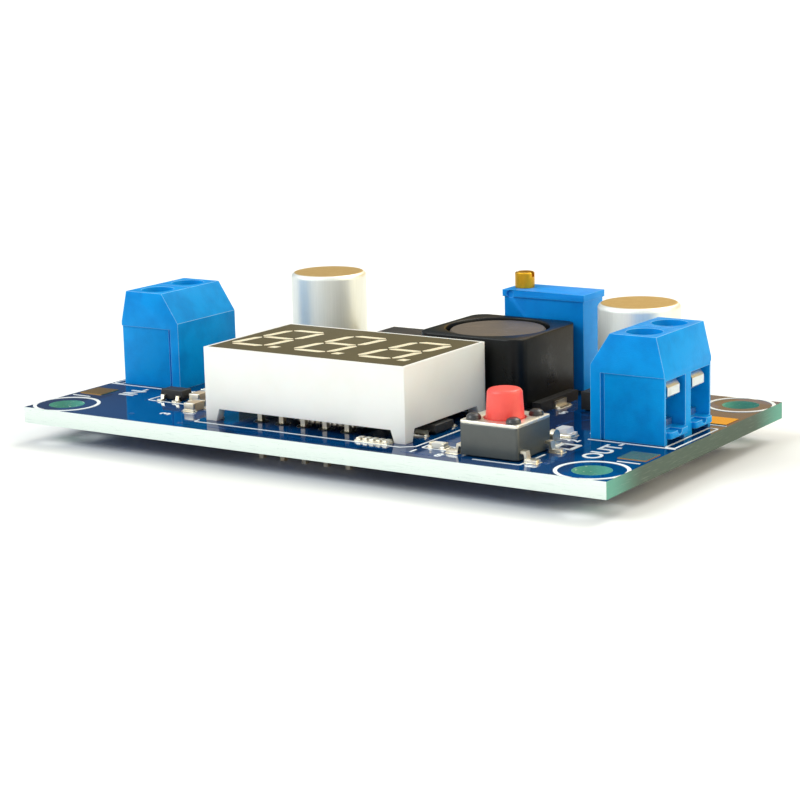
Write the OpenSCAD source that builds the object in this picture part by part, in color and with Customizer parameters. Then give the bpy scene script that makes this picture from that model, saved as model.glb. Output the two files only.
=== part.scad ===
// Step-down converter module with a three-digit voltage display.
// Frame: X along the board's length, Y from its display edge to its rear edge, Z up.
// The origin is under the middle of the board, at the level of the lead ends it stands on.

/* [Board] */
// Length of the board, between its terminal edges
board_l = 66; // [65:0.5:72]
// Width of the board, from its display edge to its rear edge
board_w = 36; // [35.5:0.5:42]
// Thickness of the board
board_t = 1.6; // [0.8:0.2:2.4]
// Length of every lead below the board
lead_drop = 2; // [1.2:0.1:3.2]
// Distance of a mounting hole's centre from both edges of its corner
mount_inset = 3; // [2.8:0.1:3.4]
// Diameter of a mounting hole
mount_hole_d = 3.6; // [3:0.1:4]
// Side of a square bare wiring pad
wire_pad_s = 2.8; // [2:0.1:3.4]
// Thickness of the tinned copper on the board
pad_t = 0.06; // [0.04:0.01:0.12]
// Distance of the wiring pads from the board's ends
pad_edge = 0.4; // [0.3:0.1:1]
// Gap between a block and the wiring pad before it
front_pad_gap = 2.9; // [1.6:0.1:3.2]
// Gap between a block and the wiring pad behind it
rear_pad_gap = 0.9; // [0.6:0.1:1.6]

/* [Terminal blocks] */
// Distance between the two wire ways of a block
term_pitch = 5; // [4.8:0.02:5.4]
// Depth of a block, from its wire face to its inner face
term_depth = 7.5; // [7.2:0.1:8.6]
// Height of a block
term_h = 9.9; // [9.6:0.1:12]
// Height of the wire face, up to the bevel
term_face_h = 6.6; // [6.5:0.1:7.4]
// Depth of the bevel above the wire face
term_front_bevel = 0.8; // [0.4:0.1:1]
// Depth of the bevel above the inner face
term_back_bevel = 2; // [1.6:0.1:2.6]
// Distance of a wire face from the board's edge
term_inset = 1.5; // [1:0.1:2]
// Place of the blocks along the board's width
term_y = 0.5; // [0:0.1:1.4]
// Width of a wire chamber
chamber_w = 3.9; // [3.7:0.1:4]
// Top of a wire opening above the board
entry_top = 5.9; // [5.7:0.1:6]
// Floor of a wire chamber above the board
chamber_floor = 1.2; // [0.9:0.1:1.5]
// Diameter of a screw access hole
access_d = 3.4; // [3.3:0.1:3.8]
// Depth of the panel sunk into each end of a block
end_recess = 0.15; // [0.1:0.05:0.25]
// Thickness of the clamp metal
clamp_t = 0.6; // [0.5:0.05:0.7]
// Thickness of the tapped top of a clamp
tapped_t = 0.8; // [0.6:0.05:0.9]
// Side of a square terminal pin
term_pin_s = 0.9; // [0.7:0.05:1.1]
// Thickness of a pressure leaf
leaf_t = 0.25; // [0.2:0.01:0.3]
// Width of a pressure leaf
leaf_w = 2.4; // [2:0.1:3.3]
// Diameter of a terminal screw's thread
screw_d = 2.5; // [2.2:0.1:2.6]
// Diameter of a terminal screw's head
screw_head_d = 2.8; // [2.7:0.05:2.9]
// Height of a terminal screw's head
screw_head_h = 0.8; // [0.8:0.05:1.3]
// Travel of a terminal screw and its leaf
clamp_travel = 1.2; // [1:0.1:1.6]

/* [Display] */
// Length of the display, along the board
display_l = 23; // [21.5:0.1:24]
// Width of the display
display_w = 14.1; // [13.4:0.1:14.8]
// Height of the display above the board
display_h = 7.2; // [6.4:0.1:8.4]
// Height of the display's feet
display_foot_h = 1.2; // [1.1:0.1:1.5]
// Length of each side of a display foot
display_foot_l = 1.4; // [1.1:0.05:1.8]
// Place of the display's middle along the board
display_x = -1.2; // [-2:0.1:-0.4]
// Thickness of the display's side walls
display_wall = 1; // [0.7:0.1:1.2]
// Depth of the light wells, from the face to the carrier
well_depth = 3.6; // [2.4:0.1:4.2]
// Thickness of the dark face film
film_t = 0.15; // [0.1:0.05:0.25]
// Width of the pale rim around the dark face film
film_rim = 0.3; // [0.2:0.05:0.4]
// Height of a digit
digit_h = 9.1; // [8.4:0.1:9.6]
// Width of a digit
digit_w = 4.8; // [4.2:0.1:5]
// Distance between digits
digit_pitch = 7.4; // [7:0.05:7.6]
// Width of a light bar
bar_w = 0.95; // [0.8:0.05:1.1]
// Gap between the ends of two light bars
bar_gap = 0.18; // [0.12:0.02:0.24]
// Lean of the digits, in degrees
digit_lean = 10; // [6:1:12]
// Side of a square display pin
display_pin_s = 0.5; // [0.4:0.05:0.6]
// Distance between display pins
display_pin_pitch = 2.54; // [2.2:0.02:2.8]
// Distance between the two rows of display pins
display_row_gap = 10.16; // [9.6:0.02:10.6]

/* [Push button] */
// Side of the square button body, along the board
button_l = 6; // [5.6:0.1:6.4]
// Side of the button body, across the board
button_w = 5.9; // [5.6:0.1:6.4]
// Height of the button's cover above the board
button_h = 3.3; // [3:0.1:3.6]
// Gap between the board and the button body
button_lift = 0.15; // [0.1:0.05:0.25]
// Thickness of the button's steel cover
button_cover_t = 0.3; // [0.2:0.05:0.35]
// Top of the plunger above the board
plunger_top = 5.9; // [5.4:0.05:8]
// Diameter of the plunger where it leaves the cover
plunger_d = 3.5; // [3:0.1:3.7]
// Diameter of the plunger's face, before its rounded edge
plunger_face_d = 3.2; // [2.8:0.1:3.3]
// Radius of the plunger's rounded edge
plunger_round = 0.4; // [0.2:0.05:0.5]
// Travel of the plunger
plunger_travel = 0.25; // [0.15:0.05:0.3]
// Gap between the button's body and the output block
button_gap = 1; // [0.5:0.1:1.4]
// Distance of the button's front from the board's display edge
button_inset = 2.3; // [1.8:0.1:3]

/* [Trimmer] */
// Length of the trimmer's top, along the board
trimmer_l = 9.4; // [9:0.1:10]
// Width of the trimmer's top
trimmer_w = 4.3; // [4.1:0.1:4.8]
// Height of the trimmer above the board
trimmer_h = 10; // [9.6:0.1:11]
// Height of the trimmer's proud top rim
trimmer_rim_h = 0.7; // [0.6:0.1:1.2]
// Width by which the top rim stands proud
trimmer_rim = 0.15; // [0.1:0.05:0.25]
// Thickness of the trimmer's walls
trimmer_wall = 0.6; // [0.5:0.05:0.65]
// Height of the sealed foot under the trimmer's works
trimmer_foot_h = 1.2; // [0.8:0.1:1.6]
// Diameter of the adjusting screw's head
adjust_d = 2; // [1.8:0.1:2.3]
// Height of the adjusting screw above the trimmer
adjust_h = 1.6; // [1:0.1:2]
// Distance of the adjusting screw from the trimmer's end
adjust_inset = 1.4; // [1.35:0.05:1.5]
// Diameter of the worm on the adjusting screw
worm_d = 1; // [0.8:0.05:1.1]
// Teeth on the wiper wheel
wheel_teeth = 32; // [24:1:36]
// Diameter of the post that the wiper wheel turns on
wheel_post_d = 1.4; // [1:0.1:1.8]
// Thickness of the wiper wheel
wheel_t = 1; // [0.8:0.05:1.1]
// Place of the trimmer's middle along the board
trimmer_x = 9.4; // [8.8:0.1:10]

/* [Inductor] */
// Side of the square ferrite shield
coil_s = 11.8; // [11:0.1:12]
// Height of the inductor above the board
coil_h = 7.4; // [6.6:0.1:8.4]
// Radius of the shield's corners
coil_corner_r = 1.6; // [0.8:0.1:2]
// Diameter of the round well in the shield
coil_well_d = 10.3; // [10:0.1:10.5]
// Diameter of the drum's flanges
drum_d = 9.5; // [9:0.1:9.8]
// Diameter of the drum's core
drum_core_d = 4.4; // [3.6:0.1:5.2]
// Thickness of the drum's flanges
drum_flange_t = 0.9; // [0.6:0.1:1.2]
// Depth of the drum's top below the shield's
drum_sink = 0.2; // [0.1:0.05:0.4]
// Thickness of the inductor's base
coil_base_t = 0.5; // [0.4:0.1:0.7]
// Place of the inductor's middle along the board
coil_x = 7.8; // [7.4:0.1:8.2]

/* [Spacing across the board] */
// Share of the board's free width that lies before the display
front_share = 0.638; // [0.6:0.002:0.68]
// Share of the free width between the display and the inductor
coil_share = 0.13; // [0.08:0.01:0.18]
// Share of the free width between the inductor and the trimmer
trimmer_share = 0.04; // [0.03:0.01:0.08]

/* [Capacitors] */
// Diameter of a capacitor can
can_d = 8; // [7:0.1:8.6]
// Height of a capacitor above the board
can_h = 10.3; // [8:0.1:12.5]
// Radius of a can's rounded top edge
can_round = 0.5; // [0.3:0.05:0.8]
// Width by which the moulded base stands proud of its can
can_base_rim = 0.15; // [0.1:0.05:0.3]
// Height of a capacitor's moulded base
can_base_h = 1.9; // [1.5:0.1:2.4]
// Gap between the left capacitor's base and the regulator
left_can_gap = 2.8; // [2.2:0.05:3.6]
// Place of the right capacitor between the trimmer, 0, and the board's end, 1
right_can_share = 0.4; // [0.36:0.01:0.44]
// Gap between a moulded base and its neighbour or the board's edge
can_gap = 0.25; // [0.1:0.05:0.6]

/* [Regulator] */
// Length of the regulator's body, along the board
reg_l = 10.2; // [9.6:0.1:10.8]
// Width of the regulator's body
reg_w = 8.9; // [8.4:0.1:9.2]
// Height of the regulator's body
reg_h = 4.5; // [4:0.1:5]
// Thickness of the regulator's cooling tab
tab_t = 1.3; // [1:0.1:1.5]
// Length of the cooling tab behind the body
tab_l = 1.3; // [0.8:0.1:1.6]
// Width of a regulator lead
reg_lead_w = 0.8; // [0.6:0.05:0.9]
// Distance between regulator leads
reg_lead_pitch = 1.7; // [1.4:0.05:1.8]
// Place of the regulator's middle along the board
reg_x = -5.5; // [-6:0.1:-5]

/* [Small parts] */
// Length of the flywheel diode's body
fly_l = 6.8; // [6:0.1:7.2]
// Width of the flywheel diode's body
fly_w = 5.8; // [5:0.1:6.2]
// Height of the flywheel diode's body
fly_h = 2.3; // [1.8:0.1:2.8]
// Length of the flat diode's body
flat_l = 3.4; // [3:0.1:3.8]
// Width of the flat diode's body
flat_w = 2.4; // [2:0.1:2.8]
// Height of the flat diode, which lies under the display's edge
flat_h = 0.95; // [0.7:0.05:1]
// Diameter of the glass diode
glass_d = 1.4; // [1.2:0.1:1.5]
// Length of the glass diode
glass_l = 3.2; // [2.8:0.1:3.4]
// Length of the controller's body
controller_l = 6.5; // [6:0.1:7.2]
// Width of the controller's body
controller_w = 4.4; // [4:0.1:4.8]
// Top of the controller above the board, under the display
controller_h = 1; // [0.8:0.05:1.05]
// Leads on each side of the controller
controller_leads = 10; // [6:1:10]
// Length of a chip resistor
chip_l = 1.6; // [1.4:0.1:1.8]
// Width of a chip resistor
chip_w = 0.8; // [0.7:0.05:1]
// Height of a chip resistor
chip_h = 0.5; // [0.4:0.05:0.6]
// Length of a chip capacitor
chip_cap_l = 2; // [1.8:0.1:2.2]
// Width of a chip capacitor
chip_cap_w = 1.2; // [1:0.05:1.4]
// Height of a chip capacitor
chip_cap_h = 0.85; // [0.6:0.05:1]
// Resistors in the row in front of the display
row_count = 5; // [3:1:6]
// Distance between the resistors of the row
row_pitch = 0.72; // [0.7:0.02:0.8]

/* [Hidden] */
$fn = 48;
eps = 0.01;
press = 1;

// Levels
board_z = lead_drop;
top_z = board_z + board_t;

// Clearances
hole_play = 0.1;
thread_play = 0.05;
running_play = 0.05;
seat_play = 0.02;
body_play = 0.2;

function between(a, b, share) = a + (b - a) * share;

// Terminal blocks
term_trim = 0.4;
term_l = 2 * term_pitch - term_trim;
term_top_l = term_depth - term_front_bevel - term_back_bevel;
term_screw_x = -(term_front_bevel + term_top_l / 2);
term_strip = 1.2;
hood_lip = 0.6;
chamber_back = 1.4;
chamber_head = 1.1;
chamber_top = entry_top + chamber_head;
clamp_front = -1.3;
clamp_back = -(term_depth - chamber_back);
clamp_top = chamber_top - seat_play;
leaf_drop = 2.25;
leaf_z = clamp_top - tapped_t - leaf_drop;
screw_tip_z = leaf_z + leaf_t / 2 + seat_play;
screw_head_z = clamp_top + clamp_travel + body_play;
term_front = term_y - term_l / 2;
term_rear = term_y + term_l / 2;
block_face = board_l / 2 - term_inset;
block_back = block_face - term_depth;

// Display
board_front = -board_w / 2;
free_w = board_w - display_w - coil_s - trimmer_w;
display_front = board_front + free_w * front_share;
display_y = display_front + display_w / 2;
display_back = display_front + display_w;
display_left = display_x - display_l / 2;
display_right = display_x + display_l / 2;
bars_sink = 0.03;
pour_depth = 0.3;
carrier_top = display_h - well_depth;
front_pins = 5;
rear_pins = 6;

// Push button
button_x = block_back - button_gap - button_l / 2;
button_left = button_x - button_l / 2;
button_y = board_front + button_inset + button_w / 2;
button_rear = button_y + button_w / 2;
button_round = 0.3;
button_deck = button_h - button_cover_t;
dome_r = 2.1;
dome_z = 1;
dome_h = 0.55;
dome_play = 0.1;
flange_t = 0.4;
flange_z = button_deck - flange_t - seat_play;

// Inductor and trimmer, one behind the other
coil_y = display_back + free_w * coil_share + coil_s / 2;
coil_right = coil_x + coil_s / 2;
coil_ear = 1;
coil_ear_w = 7.4;
coil_ear_h = 1;
trimmer_y = coil_y + coil_s / 2 + free_w * trimmer_share + trimmer_w / 2;
trimmer_right = trimmer_x + trimmer_l / 2;
adjust_x = trimmer_x - trimmer_l / 2 + adjust_inset;
trimmer_lift = 0.3;
works_z = trimmer_foot_h + trimmer_lift;
wheel_r = 2.65;
wheel_play = 0.12;
wheel_room = 0.15;
wheel_x = adjust_x + worm_d / 2 + body_play + wheel_r;
wheel_z = (works_z + trimmer_h - trimmer_rim_h) / 2;
element_t = 0.5;
element_gap = 1.2;

// Capacitors
base_s = can_d + 2 * can_base_rim;
left_can_x = reg_x - reg_l / 2 - left_can_gap - base_s / 2;
left_can_left = left_can_x - base_s / 2;
CANS = [
    [left_can_x, board_w / 2 - can_gap - base_s / 2],
    [
        between(trimmer_right, board_l / 2, right_can_share),
        term_rear + end_recess + can_gap + base_s / 2,
    ],
];

// Regulator
tab_edge = 0.8;
tab_narrowing = 2.4;
tab_seat = 1.6;
reg_y = board_w / 2 - tab_edge - tab_l - reg_w / 2;

// Small parts: where each stands, and the turn of its length from X
fly_shift = 1.2;
fly_share = 0.47;
fly_at = [left_can_x + fly_shift, between(display_back, CANS[0][1] - base_s / 2, fly_share)];
flat_inset = 0.75;
flat_at = [display_right - flat_inset, display_y - 1.05];
glass_gap = 1.5;
glass_at = [block_back - glass_gap - glass_l / 2, button_rear + 1.85];
lamp_at = [block_back - 2.65, glass_at[1] + 3.55];
left_side = [-block_back, display_left];
right_side = [display_right, block_back];
supply_l = 2.9;
supply_w = 1.5;
supply_h = 1.1;
supply_lift = 0.1;
supply_gap = 0.55;
supply_at = [between(left_side[0], left_side[1], 0.22), board_front + 10];
controller_at = [display_x, display_y];
RESISTORS = [
    [between(display_right, button_left, 0.5), board_front + 4.1, 0],
    [between(left_side[0], left_side[1], 0.82), display_back - 1.4, 90],
    [between(left_side[0], left_side[1], 0.34), board_front + 13.6, 0],
    [display_x - 6.2, display_y, 90],
    [display_x + 5.6, display_y, 90],
];
CHIP_CAPACITORS = [
    [between(left_side[0], left_side[1], 0.655), board_front + 6.8, 90],
    [supply_at[0] + supply_l / 2 + supply_gap + chip_cap_w / 2, board_front + 10.5, 90],
    [between(-board_l / 2, left_can_left, 0.66), term_rear + 3.5, 0],
    [reg_x, display_back + 1.6, 0],
    [between(right_side[0], right_side[1], 0.4), display_back - 3, 90],
];
row_gap = 0.35;
row_inset = 3.2;
row_x = display_right - row_inset;
row_y = display_front - row_gap;

// Points of a bent strip of thickness t along a path
function turned(v) = [-v[1], v[0]];
function heading(p, i) = turned((p[i + 1] - p[i]) / norm(p[i + 1] - p[i]));
function mitre(a, b) = (a + b) / (1 + a * b);
function side_at(p, i) =
    i == 0 ? heading(p, 0)
    : i == len(p) - 1 ? heading(p, i - 1)
    : mitre(heading(p, i - 1), heading(p, i));
function strip(p, t) = concat(
    [for (i = [0 : len(p) - 1]) p[i] + side_at(p, i) * t / 2],
    [for (i = [len(p) - 1 : -1 : 0]) p[i] - side_at(p, i) * t / 2]
);

// A strip bent in the XZ plane, w wide along Y
module bent_strip(path, t, w) {
    rotate([90, 0, 0])
        linear_extrude(w, center = true)
            polygon(strip(path, t));
}

// An XZ outline, w wide along Y
module slab(points, w) {
    rotate([90, 0, 0])
        linear_extrude(w, center = true)
            polygon(points);
}

module block(size, at) {
    translate([at[0] - size[0] / 2, at[1] - size[1] / 2, at[2]])
        cube(size);
}

module rounded_plate(l, w, h, r) {
    linear_extrude(h) {
        square([l - 2 * r, w], center = true);
        square([l, w - 2 * r], center = true);
        for (x = [-1, 1], y = [-1, 1])
            translate([x * (l / 2 - r), y * (w / 2 - r)])
                circle(r);
    }
}

// Holes and leads -----------------------------------------------------------

function way_y(i) = term_y + (i - 0.5) * term_pitch;
function block_x(side) = side * block_face;
function term_pin(side, i) = [block_x(side) + side * term_screw_x, way_y(i)];
function pin_row(count, y) = [
    for (i = [0 : count - 1]) [display_x + (i - (rear_pins - 1) / 2) * display_pin_pitch, y]
];

TERM_PINS = [for (side = [-1, 1], i = [0, 1]) term_pin(side, i)];
DISPLAY_PINS = concat(
    pin_row(front_pins, display_y - display_row_gap / 2),
    pin_row(rear_pins, display_y + display_row_gap / 2)
);
trimmer_pin_d = 0.6;
trimmer_pin_pitch = 2.54;
trimmer_pin_step = 0.5;
TRIMMER_PINS = [
    for (i = [-1 : 1]) [
        trimmer_x + i * trimmer_pin_pitch,
        trimmer_y + (i == 0 ? trimmer_pin_step : -trimmer_pin_step)
    ]
];
term_hole_r = term_pin_s * sqrt(2) / 2 + hole_play;
display_hole_r = display_pin_s * sqrt(2) / 2 + hole_play;
trimmer_hole_r = trimmer_pin_d / 2 + hole_play;
fillet_h = 0.9;
fillet_lip = 0.12;
wide_ring = 0.5;
narrow_ring = 0.35;

module board_holes(points, r) {
    for (p = points)
        translate([p[0], p[1], board_z - press])
            cylinder(r = r, h = board_t + 2 * press);
}

module circuit_board() {
    color("midnightblue")
        difference() {
            block([board_l, board_w, board_t], [0, 0, board_z]);
            for (x = [-1, 1], y = [-1, 1])
                board_holes(
                    [[x * (board_l / 2 - mount_inset), y * (board_w / 2 - mount_inset)]],
                    mount_hole_d / 2
                );
            board_holes(TERM_PINS, term_hole_r);
            board_holes(DISPLAY_PINS, display_hole_r);
            board_holes(TRIMMER_PINS, trimmer_hole_r);
        }
}

// Bare pads for soldered wires, before and behind each terminal block
module wire_pads() {
    x = board_l / 2 - pad_edge - wire_pad_s / 2;
    front_y = term_front - front_pad_gap - wire_pad_s / 2;
    rear_y = term_rear + rear_pad_gap + wire_pad_s / 2;
    color("goldenrod")
        for (side = [-1, 1], y = [front_y, rear_y])
            block([wire_pad_s, wire_pad_s, pad_t], [side * x, y, top_z]);
}

module solder_cone(r, lead_r, square_lead) {
    translate([0, 0, board_z - fillet_h])
        difference() {
            cylinder(r1 = lead_r + fillet_lip, r2 = r, h = fillet_h);
            if (square_lead)
                block([lead_r * 2, lead_r * 2, 3 * fillet_h], [0, 0, -fillet_h]);
            else
                translate([0, 0, -fillet_h])
                    cylinder(r = lead_r, h = 3 * fillet_h);
        }
}

module solder_joints() {
    color("silver") {
        for (p = TERM_PINS)
            translate([p[0], p[1], 0])
                solder_cone(term_hole_r + wide_ring, term_pin_s / 2, true);
        for (p = DISPLAY_PINS)
            translate([p[0], p[1], 0])
                solder_cone(display_hole_r + narrow_ring, display_pin_s / 2, true);
        for (p = TRIMMER_PINS)
            translate([p[0], p[1], 0])
                solder_cone(trimmer_hole_r + narrow_ring, trimmer_pin_d / 2, false);
    }
}

// Terminal blocks -----------------------------------------------------------

// Puts a block's parts at one end of the board: local X runs outwards to the wire face at 0
module at_block(side) {
    translate([block_x(side), 0, top_z])
        mirror([side < 0 ? 1 : 0, 0, 0])
            children();
}

module housing_outline() {
    back_rise = 0.3;
    slab([
        [0, 0],
        [0, term_face_h],
        [-term_front_bevel, term_h],
        [-term_front_bevel - term_top_l, term_h],
        [-term_depth, term_face_h + back_rise],
        [-term_depth, 0],
    ], term_l);
}

module chamber() {
    notch_r = 0.45;
    sill_t = 0.8;
    sill_gap_d = 1.2;
    sill_gap_h = 0.6;
    foot_w = 0.5;
    slab([
        [press, chamber_floor],
        [press, entry_top],
        [-hood_lip, entry_top],
        [-hood_lip, chamber_top],
        [-term_depth + chamber_back - seat_play, chamber_top],
        [-term_depth + chamber_back - seat_play, chamber_floor],
    ], chamber_w);
    translate([term_screw_x, 0, chamber_top - eps])
        cylinder(d = access_d, h = term_h);
    block(
        [term_pin_s + 2 * hole_play, term_pin_s + 2 * hole_play, chamber_floor + press],
        [term_screw_x, 0, -press / 2]
    );
    // round notch in the sill and the gap under it, between the block's feet
    translate([press, 0, chamber_floor])
        rotate([0, -90, 0])
            cylinder(r = notch_r, h = press + sill_t);
    block(
        [2 * sill_gap_d, chamber_w - foot_w, sill_gap_h + press],
        [0, 0, -press]
    );
}

// A rounded sill standing out before a wire opening
module wire_sill() {
    reach = 0.45;
    root = 0.4;
    corner_r = 0.3;
    sill_w = chamber_w - 0.4;
    sill_t = 0.6;
    translate([(reach - root) / 2, 0, chamber_floor - sill_t])
        rounded_plate(reach + root, sill_w, sill_t, corner_r);
}

module housing(side) {
    groove = 0.3;
    panel_h = entry_top + groove + press;
    color("dodgerblue")
        at_block(side)
            difference() {
                union() {
                    translate([0, term_y, 0])
                        housing_outline();
                    for (i = [0, 1])
                        translate([0, way_y(i), 0])
                            wire_sill();
                }
                for (i = [0, 1])
                    translate([0, way_y(i), 0])
                        chamber();
                // sunk panel and narrow groove in each end, under the hood
                for (end = [-1, 1]) {
                    block(
                        [2 * (term_depth - term_strip), 2 * end_recess, panel_h],
                        [0, term_y + end * term_l / 2, -press]
                    );
                    block(
                        [groove, 2 * end_recess + groove, panel_h],
                        [-term_depth + term_strip, term_y + end * term_l / 2, -press]
                    );
                }
                // parting groove between the two ways
                block([term_top_l, groove, groove * 2], [term_screw_x, term_y, term_h - groove]);
            }
}

module clamps(side) {
    clamp_w = chamber_w - 2 * body_play;
    color("silver")
        at_block(side)
            for (i = [0, 1])
                translate([0, way_y(i), 0]) {
                    difference() {
                        slab([
                            [clamp_front, chamber_floor],
                            [clamp_back, chamber_floor],
                            [clamp_back, clamp_top],
                            [clamp_front, clamp_top],
                            [clamp_front, clamp_top - tapped_t],
                            [clamp_back + clamp_t, clamp_top - tapped_t],
                            [clamp_back + clamp_t, chamber_floor + clamp_t],
                            [clamp_front, chamber_floor + clamp_t],
                        ], clamp_w);
                        translate([term_screw_x, 0, clamp_top - tapped_t - eps])
                            cylinder(r = screw_d / 2 + thread_play, h = tapped_t + 2 * eps);
                    }
                    block(
                        [term_pin_s, term_pin_s, chamber_floor + board_t + lead_drop + clamp_t / 2],
                        [term_screw_x, 0, -board_t - lead_drop]
                    );
                }
}

// The bent leaf that the screw presses onto a wire, with its guard flap at the wire opening
module leaf(side, i) {
    root_play = 0.45;
    root_x = -0.95;
    flap_x = -0.35;
    flap_drop = 0.8;
    flap_h = 0.5;
    heel_x = -1.4;
    heel_h = 0.1;
    tail_play = 0.3;
    color("gainsboro")
        at_block(side)
            translate([0, way_y(i), 0])
                bent_strip([
                    [root_x, chamber_top - root_play],
                    [root_x, entry_top - running_play],
                    [flap_x, entry_top - flap_drop],
                    [flap_x, leaf_z + flap_h],
                    [root_x, leaf_z + heel_h],
                    [heel_x, leaf_z],
                    [clamp_back + clamp_t + tail_play, leaf_z],
                ], leaf_t, leaf_w);
}

module terminal_screw(side, i) {
    slot_w = 0.5;
    slot_d = 0.55;
    edge = 0.15;
    color("lightgray")
        at_block(side)
            translate([term_screw_x, way_y(i), 0])
                difference() {
                    union() {
                        translate([0, 0, screw_tip_z])
                            cylinder(d = screw_d, h = screw_head_z - screw_tip_z + eps);
                        translate([0, 0, screw_head_z])
                            rotate_extrude()
                                polygon([
                                    [0, 0],
                                    [screw_head_d / 2, 0],
                                    [screw_head_d / 2, screw_head_h - edge],
                                    [screw_head_d / 2 - edge, screw_head_h],
                                    [0, screw_head_h],
                                ]);
                    }
                    block(
                        [2 * screw_head_d, slot_w, screw_head_h],
                        [0, 0, screw_head_z + screw_head_h - slot_d]
                    );
                }
}

module in_terminal_housing() { housing(-1); }
module in_terminal_clamps() { clamps(-1); }
module in_front_leaf() { leaf(-1, 0); }
module in_front_screw() { terminal_screw(-1, 0); }
module in_rear_leaf() { leaf(-1, 1); }
module in_rear_screw() { terminal_screw(-1, 1); }
module out_terminal_housing() { housing(1); }
module out_terminal_clamps() { clamps(1); }
module out_front_leaf() { leaf(1, 0); }
module out_front_screw() { terminal_screw(1, 0); }
module out_rear_leaf() { leaf(1, 1); }
module out_rear_screw() { terminal_screw(1, 1); }

// Display -------------------------------------------------------------------

// One hexagonal bar, l long and w wide, upright or lying
function bar(l, w, upright) = [
    for (p = [
        [-l / 2, 0],
        [-(l - w) / 2, w / 2],
        [(l - w) / 2, w / 2],
        [l / 2, 0],
        [(l - w) / 2, -w / 2],
        [-(l - w) / 2, -w / 2],
    ]) upright ? [p[1], p[0]] : p
];

// Middle of each of the seven bars, and whether it stands upright
half_w = (digit_w - bar_w) / 2;
half_h = (digit_h - bar_w) / 2;
BARS = [
    [0, half_h, false],
    [half_w, half_h / 2, true],
    [half_w, -half_h / 2, true],
    [0, -half_h, false],
    [-half_w, -half_h / 2, true],
    [-half_w, half_h / 2, true],
    [0, 0, false],
];

function leaned(p) = [p[0] + p[1] * tan(digit_lean), p[1]];

// The seven bars and the point of one digit, each shrunk all round by play
module digit_outline(play) {
    for (b = BARS) {
        l = (b[2] ? half_h : 2 * half_w) - bar_gap - 2 * play;
        polygon([
            for (p = bar(l, bar_w - 2 * play, b[2])) leaned([b[0] + p[0], b[1] + p[1]])
        ]);
    }
    point_gap = 0.35;
    point = [half_w + bar_w + point_gap, -half_h];
    r = bar_w * 0.55 - play;
    polygon([
        for (p = [[-r, -r], [r, -r], [r, r], [-r, r]]) leaned(point + p)
    ]);
}

module display_outline(play) {
    shift = 0.35;
    for (i = [-1 : 1])
        translate([display_x - shift + i * digit_pitch, display_y])
            digit_outline(play);
}

// A corner foot under the shell, tapered on its two inner sides
module display_foot() {
    slope = 0.2;
    outline = [
        [0, 0],
        [0, display_foot_h + eps],
        [-display_foot_l - slope, display_foot_h + eps],
        [-display_foot_l + slope, 0],
    ];
    intersection() {
        translate([0, -display_foot_l, 0])
            slab(outline, 3 * display_foot_l);
        rotate([0, 0, 90])
            mirror([0, 1, 0])
                translate([0, -display_foot_l, 0])
                    slab(outline, 3 * display_foot_l);
    }
}

module display_shell() {
    color("white")
        translate([0, 0, top_z])
            difference() {
                union() {
                    block(
                        [display_l, display_w, display_h - display_foot_h],
                        [display_x, display_y, display_foot_h]
                    );
                    for (x = [0, 1], y = [0, 1])
                        translate([display_x, display_y, 0])
                            mirror([x, 0, 0])
                                mirror([0, y, 0])
                                    translate([display_l / 2, display_w / 2, 0])
                                        display_foot();
                }
                // the film's seat in the face
                block(
                    [display_l - 2 * film_rim, display_w - 2 * film_rim, film_t + press],
                    [display_x, display_y, display_h - film_t]
                );
                // light wells
                translate([0, 0, carrier_top - eps])
                    linear_extrude(display_h)
                        display_outline(0);
                // open underside, filled by the carrier
                block(
                    [
                        display_l - 2 * display_wall,
                        display_w - 2 * display_wall,
                        carrier_top - display_foot_h + press,
                    ],
                    [display_x, display_y, display_foot_h - press]
                );
            }
}

module display_face() {
    color("darkolivegreen")
        translate([0, 0, top_z + display_h - film_t])
            linear_extrude(film_t)
                difference() {
                    translate([display_x, display_y])
                        square(
                            [
                                display_l - 2 * film_rim - 2 * seat_play,
                                display_w - 2 * film_rim - 2 * seat_play,
                            ],
                            center = true
                        );
                    display_outline(0);
                }
}

module display_light_bars() {
    color("antiquewhite")
        translate([0, 0, top_z + carrier_top])
            linear_extrude(well_depth - bars_sink)
                display_outline(seat_play);
}

module display_carrier() {
    slot = display_wall + seat_play;
    color("dimgray")
        translate([0, 0, top_z])
            block(
                [
                    display_l - 2 * slot,
                    display_w - 2 * slot,
                    carrier_top - display_foot_h - pour_depth,
                ],
                [display_x, display_y, display_foot_h + pour_depth]
            );
}

module display_pins() {
    color("silver")
        for (p = DISPLAY_PINS)
            block(
                [display_pin_s, display_pin_s, top_z + display_foot_h + pour_depth],
                [p[0], p[1], 0]
            );
}

// Push button ---------------------------------------------------------------

module at_button() {
    translate([button_x, button_y, top_z])
        children();
}

module button_base() {
    color("dimgray")
        at_button()
            difference() {
                translate([0, 0, button_lift])
                    rounded_plate(button_l, button_w, button_deck - button_lift, button_round);
                translate([0, 0, dome_z])
                    cylinder(r = dome_r + dome_play, h = button_h);
            }
}

module button_cover() {
    hole_r = plunger_d / 2 + body_play;
    color("gainsboro")
        at_button()
            translate([0, 0, button_deck])
                difference() {
                    rounded_plate(button_l, button_w, button_cover_t, button_round);
                    translate([0, 0, -press])
                        cylinder(r = hole_r, h = button_cover_t + 3 * press);
                }
}

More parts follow.
